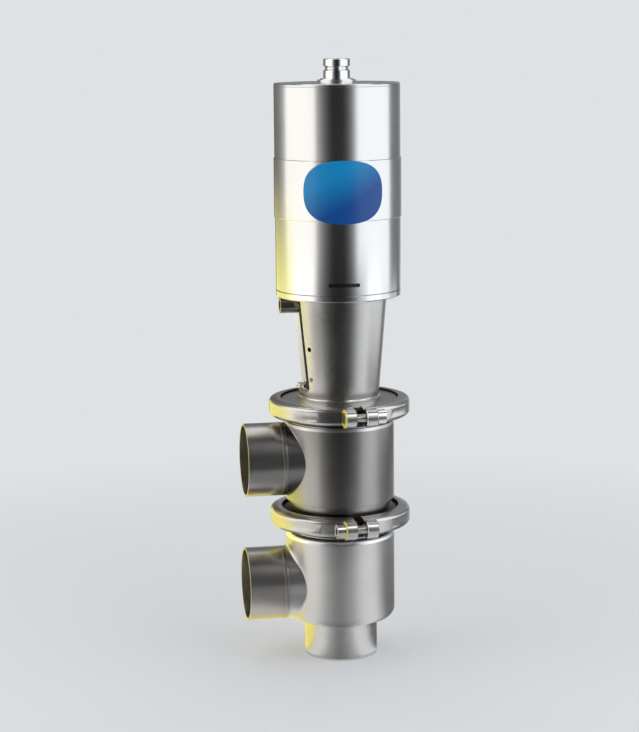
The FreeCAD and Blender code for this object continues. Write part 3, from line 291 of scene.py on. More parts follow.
COOL, BROWN, YELLOW = (1.05, 1.10, 1.15), (0.05, 0.033, 0.024), (1.30, 1.22, 0.38)
unseen_cards = [
    card("left_box_back", -71, 0.76, (-0.50, -0.46, 0.46, 0.50), (0.23, 1.36), (0.03, 0.03)),
    card("right_box_back", 68.5, 0.76, (-0.57, -0.53, 0.53, 0.57), (0.23, 1.36), (0.03, 0.03)),
    card("left_low_box_back", -70, 0.74, (-0.39, -0.36, 0.36, 0.39), (0.002, 0.28), (0.002, 0.02)),
    card("right_low_box_back", 60, 0.74, (-0.30, -0.27, 0.27, 0.30), (0.002, 0.28), (0.02, 0.02)),
    card("right_bounce", 100, 0.68, (-0.28, -0.20, 0.34, 0.46), (0.085, 0.27), (0.05, 0.02), 0.95, COOL),
    card("right_low_cloth", 100, 0.70, (-0.26, -0.12, 0.30, 0.42), (0.002, 0.09), (0.002, 0.03), 0.7),
    card("front_cloth", 0, 0.32, (-0.265, -0.03, 0.05, 0.23), (0.22, 0.95), (0.07, 0.10), 0.98),
    card("middle_front_cloth", -50, 0.45, (-0.24, 0.0, 0.30, 0.36), (0.12, 0.27), (0.04, 0.05), 0.90),
    card("right_middle_cloth", 45, 0.45, (-0.36, -0.30, -0.02, 0.22), (0.12, 0.27), (0.04, 0.05), 0.38),
    card("low_front_cloth", 0, 0.30, (-0.29, 0.0, 0.05, 0.36), (0.03, 0.36), (0.07, 0.07), 0.93),
    card("left_back_cloth", -142, 0.80, (-0.48, -0.30, 0.05, 0.62), (0.002, 1.3), (0.03, 0.10), 0.8, BROWN),
    card("right_back_cloth", 132, 0.80, (-0.50, -0.14, 0.20, 0.36), (0.002, 1.3), (0.03, 0.10), 0.74),
    card("back_cloth", 180, 0.90, (-0.52, -0.10, 0.10, 0.52), (0.22, 1.3), (0.08, 0.20), 0.72),
    card("warm_gel", -115, 0.62, (-0.92, -0.70, 0.12, 0.42), (0.002, 0.42), (0.01, 0.17), 0.92, YELLOW),
    floor_card("front_floor_cloth", 1.5, (-50, -8), (4, 46), 0.64, 0.93, 0.0015),
    floor_card("right_floor_cloth", 1.5, (74, 99), (142, 165), 0.72, 0.45, 0.0032),
    floor_card("left_floor_board", 0.75, (-86, -72), (-51, -29), 0.90, 0.05, 0.0025, (0.86, 0.87, 0.85)),
    floor_card("right_floor_board", 0.75, (26, 48), (68, 94), 0.90, 0.70, 0.0030, (0.82, 0.86, 0.90)),
    floor_card("warm_floor_gel", 0.75, (-165, -150), (-88, -70), 0.92, 0.6, 0.0035, (1.20, 1.05, 0.22)),
]
ceiling = card("ceiling_cloth", 180, 0.0, (-1.6, -1.4, 1.4, 1.6), (-1.6, 1.6), (0.2, 0.2))
ceiling.location.z = 2.2
ceiling.rotation_euler = (math.pi / 2, 0, 0)
for sheet in (*unseen_cards, ceiling):
    sheet.visible_camera = False
    sheet.visible_diffuse = False
    sheet.visible_shadow = False

camera = bpy.data.cameras.new("camera")
camera.lens = 97.22
camera.sensor_width = 36
camera.clip_start = 0.05
camera.clip_end = 100
eye = linked("camera", camera)
EYE_PLACE = Vector((-0.3365, -1.8318, 0.6037))
EYE_RIGHT = Vector((0.98498, -0.17244, -0.00939))
EYE_UP = Vector((0.03845, 0.16592, 0.98539))
EYE_AHEAD = Vector((0.16836, 0.97095, -0.17006))
turned_eye = Matrix((EYE_RIGHT, EYE_UP, -EYE_AHEAD)).transposed().to_4x4()
eye.matrix_world = Matrix.Translation(EYE_PLACE) @ turned_eye
bpy.context.scene.camera = eye
bpy.context.scene.view_settings.view_transform = "Standard"

# Housings: two drawn stainless shells, each with a collar pulled out of its side and a turned V ferrule at
# each clamped end. The outside is belt ground and then bead blasted to an even satin.
MM = 0.001
UPRIGHT = ((0, 0, 0), (0, 0, 1))
LOWER_PORT = 72.4 * MM
UPPER_PORT = 194.4 * MM
WELD_REACH = 57.5
slot_of = {part["node"]: part["material_slot"] for part in frame["record"]["subparts"]}


def ground_steel(
    name, colour, roughness, lines, spread=0.10, mottle=0.05, grain=0.02, seam=None, metal=1.0, painted_light_bands=()
):
    """Stainless steel; lines gives how fine its scratches are along each axis, seam a weld's axis and place,
    and painted_light_bands the heights, in millimetres, of rings of painted shade and of painted highlight."""
    steel = Recipe(name)
    scratch = steel.noise(lines, detail=5.0)
    cloud = steel.noise((22, 22, 22), detail=4.0)
    tone = steel.ramp(cloud, 0.3, 0.7)
    pale = tuple(part * (1 + mottle) for part in colour)
    deep = tuple(part * (1 - mottle) for part in colour)
    paint = steel.mix(tone, deep, pale)
    if seam:
        axis, reach = seam
        near = steel.ramp(abs(abs(steel.along(axis)) - reach), 6 * MM, 1.5 * MM)
        straw = near * steel.ramp(steel.noise((90, 90, 90), detail=2.0), 0.35, 0.75) * STRAW_STRENGTH
        paint = steel.mix(straw, paint, STRAW)
    # Rings painted by height: a dark tone as painted shade, a pale tone as a painted highlight.
    for low, high, painted_tone in painted_light_bands:
        height = steel.along("Z")
        over_low = steel.ramp(height, low * MM, (low + RING_FADE) * MM)
        under_high = steel.ramp(height, high * MM, (high - RING_FADE) * MM)
        ring = over_low * under_high
        paint = steel.mix(ring, paint, painted_tone)
    steel.set(Base_Color=paint, Metallic=metal)
    steel.set(Roughness=roughness + (scratch - 0.5) * spread + (cloud - 0.5) * 0.07)
    steel.bump(scratch, grain * MM, 0.35)
    return steel.block


BLASTED = (1400, 1400, 1400)
STRAW, STRAW_STRENGTH = (0.40, 0.31, 0.19), 0.45
RING_FADE = 0.6
# Painted shade: a near-black tone for crevices, for necks under the clamps and for faces in shade.
PAINTED_SHADE_TONE = (0.045, 0.042, 0.040)
# Painted highlight: a near-white tone for rounds that should shine brightly.
PAINTED_HIGHLIGHT_TONE = (0.97, 0.96, 0.95)
ROUND_WELD = ("X", WELD_REACH * MM)
# Upper housing and closure plate: painted shade on the necks beside and under the clamps and on the plate's
# rim, and a painted highlight on the shoulder round.
upper_painted_light_bands = ((136, 148.2, PAINTED_SHADE_TONE), (227.4, 231.3, PAINTED_HIGHLIGHT_TONE), (231.1, 253, PAINTED_SHADE_TONE))
# Lower housing: a painted highlight on the shoulder round, and painted shade under the lower clamp.
lower_painted_light_bands = ((118.0, 124.6, PAINTED_HIGHLIGHT_TONE), (124.3, 140, PAINTED_SHADE_TONE))
housing_steel = ground_steel(
    "satin_upper_steel", (0.43, 0.412, 0.396), 0.29, BLASTED, 0.05, grain=0.006,
    seam=ROUND_WELD, painted_light_bands=upper_painted_light_bands,
)
# Painted light: the lower housing takes the upper housing's satin steel painted paler, for the brighter light
# it catches.
painted_paler_lower_steel = ground_steel(
    "satin_lower_steel_painted_paler", (0.70, 0.676, 0.652), 0.29, BLASTED, 0.05, grain=0.006,
    seam=ROUND_WELD, painted_light_bands=lower_painted_light_bands,
)


def from_bmesh(name, shape):
    mesh = bpy.data.meshes.new(name)
    shape.to_mesh(mesh)
    shape.free()
    return mesh


SHARP_EDGE = math.radians(30)
SKEW_ALLOWED = 0.022
SLOPE_ALLOWED = math.radians(1.6)
WALL_SLOPE_ALLOWED = math.radians(14)


def softened(mesh):
    """A copy with smooth shading whose sharp edges are kept and whose large faces stay flat."""
    shape = bmesh.new()
    shape.from_mesh(mesh)
    for edge in shape.edges:
        edge.smooth = len(edge.link_faces) == 2 and edge.calc_face_angle(0) < SHARP_EDGE
    for face in shape.faces:
        face.smooth = True
    shape.to_mesh(mesh)
    shape.free()
    holder = linked("normals_holder", mesh)
    weighted = holder.modifiers.new("weighted", "WEIGHTED_NORMAL")
    weighted.mode = "FACE_AREA_WITH_ANGLE"
    weighted.keep_sharp = True
    done = bpy.data.meshes.new_from_object(holder.evaluated_get(bpy.context.evaluated_depsgraph_get()))
    done.name = mesh.name
    bpy.data.objects.remove(holder)
    return done


def true_normals(mesh, axes):
    """A softened copy with exact normals on what is turned about one of the axes, each an origin and a
    direction. Upright walls may lean further from their faces than slopes, as their corners are blended."""
    done = softened(mesh)

    def read(group, field, width, kind):
        kept = np.zeros(len(group) * width, kind)
        group.foreach_get(field, kept)
        return kept.reshape(-1, width).astype(float) if width > 1 else kept

    corner = read(done.corner_normals, "vector", 3, np.float32)
    vertex = read(done.loops, "vertex_index", 1, np.int32)
    points = read(done.vertices, "co", 3, np.float32)
    facing = read(done.polygons, "normal", 3, np.float32)
    sizes = read(done.polygons, "loop_total", 1, np.int32)
    owner = np.repeat(np.arange(len(sizes)), sizes)
    middle = np.zeros((len(sizes), 3))
    np.add.at(middle, owner, points[vertex])
    middle /= sizes[:, None]
    for origin, direction in axes:
        origin = np.array(origin, float)
        direction = np.array(direction, float)

        def outward(where):
            arm = where - origin
            arm = arm - (arm @ direction)[:, None] * direction
            return arm / np.maximum(np.linalg.norm(arm, axis=1), 1e-9)[:, None]

        arm = outward(middle)
        reach = (facing * arm).sum(1)
        rise = facing @ direction
        skew = np.abs((facing * np.cross(direction, arm)).sum(1))
        turned = (skew < SKEW_ALLOWED) & (np.abs(reach) > 0.05)
        own = outward(points[vertex])
        wanted = own * reach[owner][:, None] + rise[owner][:, None] * direction
        wanted /= np.maximum(np.linalg.norm(wanted, axis=1), 1e-9)[:, None]
        lean = np.arctan2(corner @ direction, (corner * own).sum(1))
        want = np.arctan2(wanted @ direction, (wanted * own).sum(1))
        allowed = np.where(np.abs(rise[owner]) < 0.02, WALL_SLOPE_ALLOWED, SLOPE_ALLOWED)
        lean = np.where(np.abs(lean - want) < allowed, want, lean)
        pick = turned[owner] & (np.abs((corner * np.cross(direction, own)).sum(1)) < 0.25)
        corner[pick] = (np.cos(lean)[:, None] * own + np.sin(lean)[:, None] * direction)[pick]
    done.normals_split_custom_set([tuple(part) for part in corner])
    return done


def dressed_copy(node, material, axes=(UPRIGHT,), edge=0.25, change=None):
    """A merged copy of a CAD node with its sharp edges broken and true shading, standing for the node."""
    shape = bmesh.new()
    shape.from_mesh(frame["nodes"][node].data)
    bmesh.ops.remove_doubles(shape, verts=shape.verts, dist=1e-6)
    if change:
        change(shape)
    bmesh.ops.dissolve_limit(shape, angle_limit=math.radians(0.2), verts=shape.verts, edges=shape.edges)
    edges = [e for e in shape.edges if len(e.link_faces) == 2 and e.calc_face_angle(0) > SHARP_EDGE]
    bmesh.ops.bevel(
        shape, geom=edges, offset=edge * MM, segments=2, profile=0.5, affect="EDGES", clamp_overlap=True
    )
    mesh = true_normals(from_bmesh(f"dressed_{node}", shape), axes)
    mesh.materials.clear()
    mesh.materials.append(material)
    made = linked(f"dressed_{node}", mesh)
    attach(made, frame["nodes"][node]["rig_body"])
    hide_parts(node)
    return made


dressed_copy("lower_body", painted_paler_lower_steel, (UPRIGHT, ((0, 0, LOWER_PORT), (1, 0, 0))))
dressed_copy("upper_body", housing_steel, (UPRIGHT, ((0, 0, UPPER_PORT), (1, 0, 0))))

# Port tubes: 70 mm dairy tube with 2 mm wall, cut square, brushed, and butt welded to the housings by hand.
# The weld beads are low, finely rippled rings with a little straw colour left beside them.
PORT_RADIUS, PORT_BORE = 35.0, 33.0
SIDE_TUBE_END = 92.9
FOOT_TUBE_TOP = 37.0
FULL = 2 * math.pi
tube_steel = ground_steel(
    "satin_tube_steel", (0.50, 0.475, 0.452), 0.30, BLASTED, 0.05, grain=0.006, seam=ROUND_WELD
)
# Painted light: the foot tube takes the side tubes' steel painted paler, for the brighter light it catches.
painted_paler_bottom_steel = ground_steel(
    "satin_bottom_steel_painted_paler", (0.70, 0.676, 0.652), 0.27, BLASTED, 0.03, grain=0.002,
    seam=("Z", FOOT_TUBE_TOP * MM),
)


def rounded_outline(points, size):
    """An outline with its corners rounded: its points, and the two normals of each side that leaves one."""
    places = []
    count = len(points)
    for index in range(count):
        here = np.array(points[index], float)
        before = np.array(points[index - 1], float)
        after = np.array(points[(index + 1) % count], float)
        coming = (here - before) / np.linalg.norm(here - before)
        going = (after - here) / np.linalg.norm(after - here)
        turn = math.acos(max(-1.0, min(1.0, float(coming @ going))))
        if size <= 0 or here[0] < 1e-6 or turn < 0.05:
            places.append((here, None, 0))
            continue
        room = 0.45 * min(np.linalg.norm(here - before), np.linalg.norm(after - here))
        radius = min(size, room / math.tan(turn / 2))
        side = math.copysign(1, coming[0] * going[1] - coming[1] * going[0])
        start = here - coming * radius * math.tan(turn / 2)
        centre = start + np.array((-coming[1], coming[0])) * side * radius
        steps = max(2, min(12, int(turn / math.radians(14)) + 1))
        arm = start - centre
        for step in range(steps + 1):
            angle = turn * step / steps * side
            spun = (
                arm[0] * math.cos(angle) - arm[1] * math.sin(angle),
                arm[0] * math.sin(angle) + arm[1] * math.cos(angle),
            )
            places.append((centre + np.array(spun), centre, side))
    normals = []
    for index, (here, centre, side) in enumerate(places):
        there, other, _ = places[(index + 1) % len(places)]
        line = there - here
        straight = np.array((line[1], -line[0])) / max(np.linalg.norm(line), 1e-12)
        if centre is not None and centre is other:
            pair = [(place - centre) * side for place in (here, there)]
            normals.append(tuple(arm / np.linalg.norm(arm) for arm in pair))
        else:
            normals.append((straight, straight))
    return [place[0] for place in places], normals


def turned_mesh(name, points, size=0.3, segments=192, place=None):
    """A solid turned from an outline of (radius, height) in millimetres, walked with its inside at left."""
    outline, normals = rounded_outline(points, size)
    vertices = []
    faces = []
    corner = []
    rows = []
    for radius, height in outline:
        if radius < 1e-6:
            rows.append([len(vertices)] * segments)
            vertices.append((0, 0, height * MM))
            continue
        rows.append(list(range(len(vertices), len(vertices) + segments)))
        for step in range(segments):
            angle = FULL * step / segments
            vertices.append((radius * MM * math.cos(angle), radius * MM * math.sin(angle), height * MM))
    for index in range(len(outline)):
        low, high = rows[index], rows[(index + 1) % len(outline)]
        if low[0] == low[1] and high[0] == high[1]:
            continue
        first, second = normals[index]
        for step in range(segments):
            after = (step + 1) % segments
            face = {}
            quad = ((low, step, first), (low, after, first), (high, after, second), (high, step, second))
            for row, column, flat in quad:
                angle = FULL * column / segments
                face.setdefault(row[column], (flat[0] * math.cos(angle), flat[0] * math.sin(angle), flat[1]))
            faces.append(list(face))
            corner.extend(face.values())
    mesh = bpy.data.meshes.new(name)
    mesh.from_pydata(vertices, [], faces)
    mesh.shade_smooth()
    if place is not None:
        mesh.transform(place)
        corner = [tuple(place.to_3x3() @ Vector(part)) for part in corner]
    mesh.normals_split_custom_set(corner)
    return mesh


def added(name, mesh, material, body, stands_for=()):
    """A finished mesh as a piece that rides on a body, and stands for CAD nodes if any are named."""
    mesh.materials.clear()
    mesh.materials.append(material)
    made = linked(name, mesh)
    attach(made, body)
    if stands_for:
        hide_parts(*stands_for)
    return made


def tube_outline(low, high):
    return [(PORT_BORE, low), (PORT_RADIUS, low), (PORT_RADIUS, high), (PORT_BORE, high)]


def pointing_left(height):
    """Lays what was turned about Z along -X, at a port's height."""
    return Matrix.Translation((0, 0, height)) @ Matrix.Rotation(-math.pi / 2, 4, "Y")


def weld_bead(name, radius, reach, width, rise, place):
    """A low bead round a tube, with the ripples that the torch leaves."""
    around, across, ripples = 480, 12, 150
    vertices = []
    for step in range(around):
        angle = FULL * step / around
        for index in range(across + 1):
            side = index / across * 2 - 1
            ripple = 0.22 * math.cos(ripples * angle + 2.4 * side * side + 0.6 * math.sin(7 * angle))
            out = (radius + rise * (1 - side * side) * (1 + ripple)) * MM
            along = (reach + side * width / 2) * MM
            vertices.append((out * math.cos(angle), out * math.sin(angle), along))
        inner = (radius - 0.4) * MM
        vertices.append((inner * math.cos(angle), inner * math.sin(angle), reach * MM))
    ring = across + 2
    faces = []
    for step in range(around):
        here, there = step * ring, (step + 1) % around * ring
        for index in range(ring):
            after = (index + 1) % ring
            faces.append((here + index, there + index, there + after, here + after))
    mesh = bpy.data.meshes.new(name)
    mesh.from_pydata(vertices, [], faces)
    mesh.shade_smooth()
    mesh.transform(place)
    return mesh


bead_steel = ground_steel("weld_bead_steel", (0.50, 0.47, 0.44), 0.33, (700, 700, 700), mottle=0.12)
for name, height in (("lower", LOWER_PORT), ("upper", UPPER_PORT)):
    laid = pointing_left(height)
    tube = turned_mesh(f"{name}_port_tube", tube_outline(WELD_REACH, SIDE_TUBE_END), 0.35, place=laid)
    added(f"{name}_port_tube", tube, tube_steel, "housing", (f"{name}_side_tube",))
    bead = weld_bead(f"{name}_port_weld", PORT_RADIUS, WELD_REACH, width=4.2, rise=0.11, place=laid)
    added(f"{name}_port_weld", bead, bead_steel, "housing")
bottom_tube = turned_mesh("bottom_port_tube", tube_outline(0, FOOT_TUBE_TOP), 0.35)
added("bottom_port_tube", bottom_tube, painted_paler_bottom_steel, "housing", ("bottom_tube",))
foot_weld_outline = [
    (34.7, 35.9), (35.02, 35.9), (35.25, 36.5), (35.7, 36.9), (36.3, 37.05), (36.3, 37.3), (34.7, 37.3),
]
foot_weld = turned_mesh("bottom_port_weld", foot_weld_outline, 0.2)
added("bottom_port_weld", foot_weld, bead_steel, "housing")

# Closure plate and lantern: a cast yoke on a turned foot plate that the upper clamp holds, open at one side
# so that the stem coupling can be reached. It is blasted to a fine satin; the air port is welded under it.
lantern_steel = ground_steel("blasted_lantern_steel", (0.60, 0.58, 0.56), 0.28, BLASTED, 0.05, grain=0.006)
CAST = (900, 900, 900)
# Painted highlight: the far window jamb's milled cut face is a paler, yellowish steel, a painted yellow
# highlight.
jamb_highlight_steel = ground_steel("milled_edge_painted_highlight_steel", (0.80, 0.79, 0.70), 0.36, CAST, mottle=0.04)
# Painted light: a pale, nearly dull steel for the inner wall seen through the window, painted as lit.
painted_lit_wall_steel = ground_steel("painted_lit_inner_wall", (0.88, 0.86, 0.80), 0.60, CAST, mottle=0.06, metal=0.12)
# Painted shade: a near-black steel for faces where shade falls: the lantern's inside away from the window,
# its flange rim in the clamp, and the clamps' groove and inner faces.
painted_shade_steel = ground_steel("painted_shade_cast_steel", PAINTED_SHADE_TONE, 0.50, CAST, mottle=0.10)
dressed_lantern = dressed_copy("lantern", lantern_steel, (UPRIGHT,))
for finish in (jamb_highlight_steel, painted_lit_wall_steel, painted_shade_steel):
    dressed_lantern.data.materials.append(finish)
WINDOW_HALF, WINDOW_FOOT, WINDOW_FRONT, JAMB_WIDTH = 19.3 * MM, 262 * MM, -20 * MM, 3 * MM
INNER_WALL, FLANGE_RIM = 42 * MM, 55.4 * MM
FAR_JAMB_NORMAL = (-0.64, -0.768, 0.0)
lantern_corners = [tuple(corner.vector) for corner in dressed_lantern.data.corner_normals]
for face in dressed_lantern.data.polygons:
    middle = face.center
    out = Vector((middle.x, middle.y, 0))
    inward = out.length < INNER_WALL and face.normal.dot(out.normalized()) < -0.3
    on_jamb = WINDOW_HALF - 0.5 * MM < abs(middle.y) < WINDOW_HALF + JAMB_WIDTH
    # The far jamb's cut face takes the painted highlight steel, and set normals turn it toward the left soft
    # box.
    if on_jamb and middle.x < WINDOW_FRONT and middle.z > WINDOW_FOOT and abs(face.normal.y) > 0.3:
        face.material_index = 1
        if face.normal.y < 0:
            for index in face.loop_indices:
                lantern_corners[index] = FAR_JAMB_NORMAL
    # Inside faces: painted light where the window lets light in, painted shade elsewhere.
    elif inward:
        lit_through_window = middle.x < -15 * MM and middle.y > 5 * MM
        face.material_index = 2 if lit_through_window else 3
    # The flange rim inside the upper clamp takes painted shade.
    elif out.length > FLANGE_RIM:
        face.material_index = 3
dressed_lantern.data.normals_split_custom_set(lantern_corners)
FOOT_RADIUS, FOOT_HEIGHT, FOOT_ROUND = 38.0, 254.2, 1.5
foot_curve = []
for turn in (1.5, 1.2, 0.9, 0.6, 0.3, 0.0):
    hollow_radius = FOOT_RADIUS + FOOT_ROUND - FOOT_ROUND * math.cos(turn)
    foot_curve.append((hollow_radius, FOOT_HEIGHT + FOOT_ROUND - FOOT_ROUND * math.sin(turn)))
foot_ring = turned_mesh("lantern_foot_round", [(37.6, 254.0), (39.6, 254.0), *foot_curve, (37.6, 255.8)], 0)
# Painted highlight: the small round at the lantern's foot is near-white steel, so that it shows a bright
# ring.
foot_highlight_steel = ground_steel("painted_highlight_foot_steel", PAINTED_HIGHLIGHT_TONE, 0.16, BLASTED, 0.05, mottle=0.02, grain=0.003)
added("lantern_foot_round", foot_ring, foot_highlight_steel, "housing")
BOSS_HEIGHT = 343 * MM
boss_axes = (UPRIGHT, ((0, 0, BOSS_HEIGHT), (1, 0, 0)), ((-38 * MM, 0, 0), (0, 0, 1)))
# Painted shade: the air port boss under the actuator is a darker steel, for the shade it sits in.
dressed_copy("air_port_boss", ground_steel("air_boss_steel_painted_shade", (0.34, 0.325, 0.31), 0.27, BLASTED), boss_axes)
dressed_copy("closure_plate", housing_steel)

# Lantern screws: four socket cap screws in a circle, up through the yoke's top flange into the bottom cover.
# Bright rolled steel, with a hexagon socket and a rounded head.
screw_steel = ground_steel("bright_screw_steel", (0.78, 0.765, 0.74), 0.18, (500, 500, 500), mottle=0.04)


def cap_screw(name, head_radius, head_height, radius, length, socket):
    """A cap screw that stands on its head at the origin, with its shank up along Z."""
    shape = bmesh.new()
    rims = [
        (head_radius - 0.5, -head_height), (head_radius, -head_height + 0.5), (head_radius, 0), (radius, 0),
        (radius, length - 0.6), (radius - 0.6, length),
    ]
    around = 48
    rows = []
    for out, height in rims:
        row = []
        for step in range(around):
            angle = FULL * step / around
            row.append(shape.verts.new((out * MM * math.cos(angle), out * MM * math.sin(angle), height * MM)))
        rows.append(row)
    for low, high in zip(rows, rows[1:]):
        for step in range(around):
            after = (step + 1) % around
            shape.faces.new((low[step], low[after], high[after], high[step]))
    shape.faces.new(rows[-1])
    depth = -head_height + head_height * 0.55
    mouths = []
    for height in (-head_height, depth):
        mouth = []
        for step in range(around):
            angle = FULL * step / around
            flat = abs((math.degrees(angle) + 30) % 60 - 30)
            out = socket / 2 / math.cos(math.radians(flat)) * MM
            mouth.append(shape.verts.new((out * math.cos(angle), out * math.sin(angle), height * MM)))
        mouths.append(mouth)
    for step in range(around):
        after = (step + 1) % around
        shape.faces.new((mouths[0][step], mouths[0][after], rows[0][after], rows[0][step]))
        shape.faces.new((mouths[0][after], mouths[0][step], mouths[1][step], mouths[1][after]))
    shape.faces.new(mouths[1][::-1])
    bmesh.ops.recalc_face_normals(shape, faces=shape.faces)
    return from_bmesh(name, shape)


def node_tree(name, sizes):
    """An empty geometry tree with a named input for each size: the tree, its two ends and the values that its
    inputs take."""
    tree = bpy.data.node_groups.new(name, "GeometryNodeTree")
    tree.interface.new_socket("Unit", in_out="INPUT", socket_type="NodeSocketGeometry")
    values = {}
    for label, kind, value in sizes:
        socket = tree.interface.new_socket(label, in_out="INPUT", socket_type=f"NodeSocket{kind}")
        values[socket.identifier] = value
    tree.interface.new_socket("Result", in_out="OUTPUT", socket_type="NodeSocketGeometry")
    return tree, tree.nodes.new("NodeGroupInput"), tree.nodes.new("NodeGroupOutput"), values


def grown(name, tree, values, unit):
    """The plain mesh that a tree makes from a unit mesh."""
    holder = linked(f"{name}_holder", unit)
    modifier = holder.modifiers.new("grown", "NODES")
    modifier.node_group = tree
    for identifier, value in values.items():
        modifier[identifier] = value
    done = bpy.data.meshes.new_from_object(holder.evaluated_get(bpy.context.evaluated_depsgraph_get()))
    done.name = name
    bpy.data.objects.remove(holder)
    return done


def ring_of(name, unit, material, count, circle, height, start):
    """Copies of a mesh round a circle about Z."""
    tree, given, result, values = node_tree(f"{name}_ring", (
        ("Count", "Int", count), ("Circle", "Float", circle), ("Height", "Float", height),
        ("Start", "Float", start), ("Material", "Material", material),
    ))
    points = tree.nodes.new("GeometryNodeMeshCircle")
    turn = tree.nodes.new("ShaderNodeCombineXYZ")
    rise = tree.nodes.new("ShaderNodeCombineXYZ")
    moved = tree.nodes.new("GeometryNodeTransform")
    copies = tree.nodes.new("GeometryNodeInstanceOnPoints")
    real = tree.nodes.new("GeometryNodeRealizeInstances")
    painted = tree.nodes.new("GeometryNodeSetMaterial")
    for out, into in (
        (given.outputs["Count"], points.inputs["Vertices"]),
        (given.outputs["Circle"], points.inputs["Radius"]),
        (given.outputs["Start"], turn.inputs["Z"]), (given.outputs["Height"], rise.inputs["Z"]),
        (points.outputs["Mesh"], moved.inputs["Geometry"]), (rise.outputs[0], moved.inputs["Translation"]),
        (turn.outputs[0], moved.inputs["Rotation"]), (moved.outputs[0], copies.inputs["Points"]),
        (given.outputs["Unit"], copies.inputs["Instance"]), (copies.outputs[0], real.inputs[0]),
        (real.outputs[0], painted.inputs["Geometry"]),
        (given.outputs["Material"], painted.inputs["Material"]), (painted.outputs[0], result.inputs[0]),
    ):
        tree.links.new(out, into)
    return grown(name, tree, values, unit)


screw = cap_screw("lantern_screw", head_radius=5.0, head_height=6.0, radius=3.0, length=18.0, socket=5.0)
ring = ring_of(
    "four_lantern_screws", screw, screw_steel, count=4, circle=35.5 * MM, height=342 * MM, start=math.pi / 4
)
ring = true_normals(ring, ())
added("four_lantern_screws", ring, screw_steel, "housing", ("lantern_screws",))

# Actuator: a drawn stainless barrel between two turned covers, with a thin sleeve round its middle, all
# polished. A slot low on the front takes the end of the wire that holds the bottom cover.
AROUND_Z = (50, 50, 3200)
BARREL_SIDES = 256
barrel_steel = ground_steel("polished_barrel_steel", (0.78, 0.772, 0.762), 0.20, AROUND_Z, 0.07, 0.015, 0.006)
dressed_copy("actuator_cylinder", barrel_steel, edge=0.15)
sleeve_outline = [
    (59.15, 425.8), (59.5, 425.8), (59.93, 426.25), (59.93, 480.95), (59.5, 481.4), (59.15, 481.4),
]
sleeve = turned_mesh("barrel_sleeve", sleeve_outline, 0.08, BARREL_SIDES)
added("barrel_sleeve", sleeve, barrel_steel, "housing", ("middle_sleeve",))
top_outline = [
    (15.55, 523.6), (20.05, 523.6), (20.05, 538), (56.15, 538), (56.15, 547.6), (58.2, 547.6), (58.2, 548.15),
    (59.15, 548.15), (59.15, 549.7), (58.25, 550.6), (18, 550.6), (18, 553.4), (15.55, 553.4),
]
top_cover = turned_mesh("top_cover", top_outline, 0.2, BARREL_SIDES)
added("top_cover", top_cover, barrel_steel, "housing", ("actuator_top_cover",))
bottom_outline = [
    (13.5, 351), (58.15, 351), (59.15, 352), (59.15, 356.9), (56.15, 356.9), (56.15, 376.3), (50.15, 376.3),
    (50.15, 365.3), (24, 365.3), (24, 376.3), (15.55, 376.3), (15.55, 353), (13.5, 353),
]
bottom_cover = turned_mesh("bottom_cover", bottom_outline, 0.25, BARREL_SIDES)
added("bottom_cover", bottom_cover, barrel_steel, "housing", ("actuator_bottom_cover",))

# Rod, stem and rod bush: ground and chromed bar. The rod rises through its bush in the top cover, with a
# groove near the end for the clip of a position indicator, and the stem hangs from its foot.
rod_steel = ground_steel("ground_rod_steel", (0.80, 0.795, 0.79), 0.12, AROUND_Z, 0.05, 0.015, 0.003)
ROD_RADIUS, GROOVE_LOW, GROOVE_TOP, GROOVE_DEPTH = 12.5 * MM, 561.7 * MM, 566.1 * MM, 1.7 * MM


def hollow_the_groove(shape):
    """Gives the groove the round floor that its form tool leaves."""
    middle = (GROOVE_LOW + GROOVE_TOP) / 2
    half = (GROOVE_TOP - GROOVE_LOW) / 2
    sweep = (half * half + GROOVE_DEPTH * GROOVE_DEPTH) / (2 * GROOVE_DEPTH)
    for step in range(1, 12):
        height = GROOVE_LOW + (GROOVE_TOP - GROOVE_LOW) * step / 12
        whole = shape.verts[:] + shape.edges[:] + shape.faces[:]
        bmesh.ops.bisect_plane(shape, geom=whole, plane_co=(0, 0, height), plane_no=(0, 0, 1))
    for vertex in shape.verts:
        radius = math.hypot(vertex.co.x, vertex.co.y)
        rise = vertex.co.z - middle
        if abs(rise) < half + 1e-6 and 1e-3 < radius < ROD_RADIUS - 0.1 * MM:
            hollow = ROD_RADIUS - (math.sqrt(max(0.0, sweep * sweep - rise * rise)) - (sweep - GROOVE_DEPTH))
            vertex.co.x *= hollow / radius
            vertex.co.y *= hollow / radius
    bmesh.ops.remove_doubles(shape, verts=shape.verts, dist=5e-6)


dressed_copy("piston_rod", rod_steel, edge=0.2, change=hollow_the_groove)
dressed_copy("valve_stem", rod_steel, edge=0.2)
dressed_copy("upper_rod_bush", rod_steel, edge=0.2)

# Label: a blank printed film, two tones of blue under a clear gloss coat. It is cut to a rounded shape, stuck
# on by its adhesive back and rolled flat on to the sleeve.
film = Recipe("blue_film")
sweep = film.along("Z") * 16.0 - film.along("X") * 9.0 - 7.2 + film.noise((14, 14, 14), detail=1.0) * 0.25
film_blue = film.mix(film.ramp(sweep, 0.0, 0.55), (0.004, 0.075, 0.32), (0.004, 0.27, 0.60))
film.set(Base_Color=film_blue, Roughness=0.34 + film.noise((300, 300, 300)) * 0.06, Specular_IOR_Level=0.35)
film.set(Coat_Weight=0.15, Coat_Roughness=0.10)
film.bump(film.noise((60, 60, 60), detail=1.0), 0.02 * MM, 0.4)
LABEL_WIDTH, LABEL_HEIGHT, LABEL_RADIUS, LABEL_TURN, LABEL_MIDDLE = 78.0, 58.0, 59.95, -4.6, 452.6


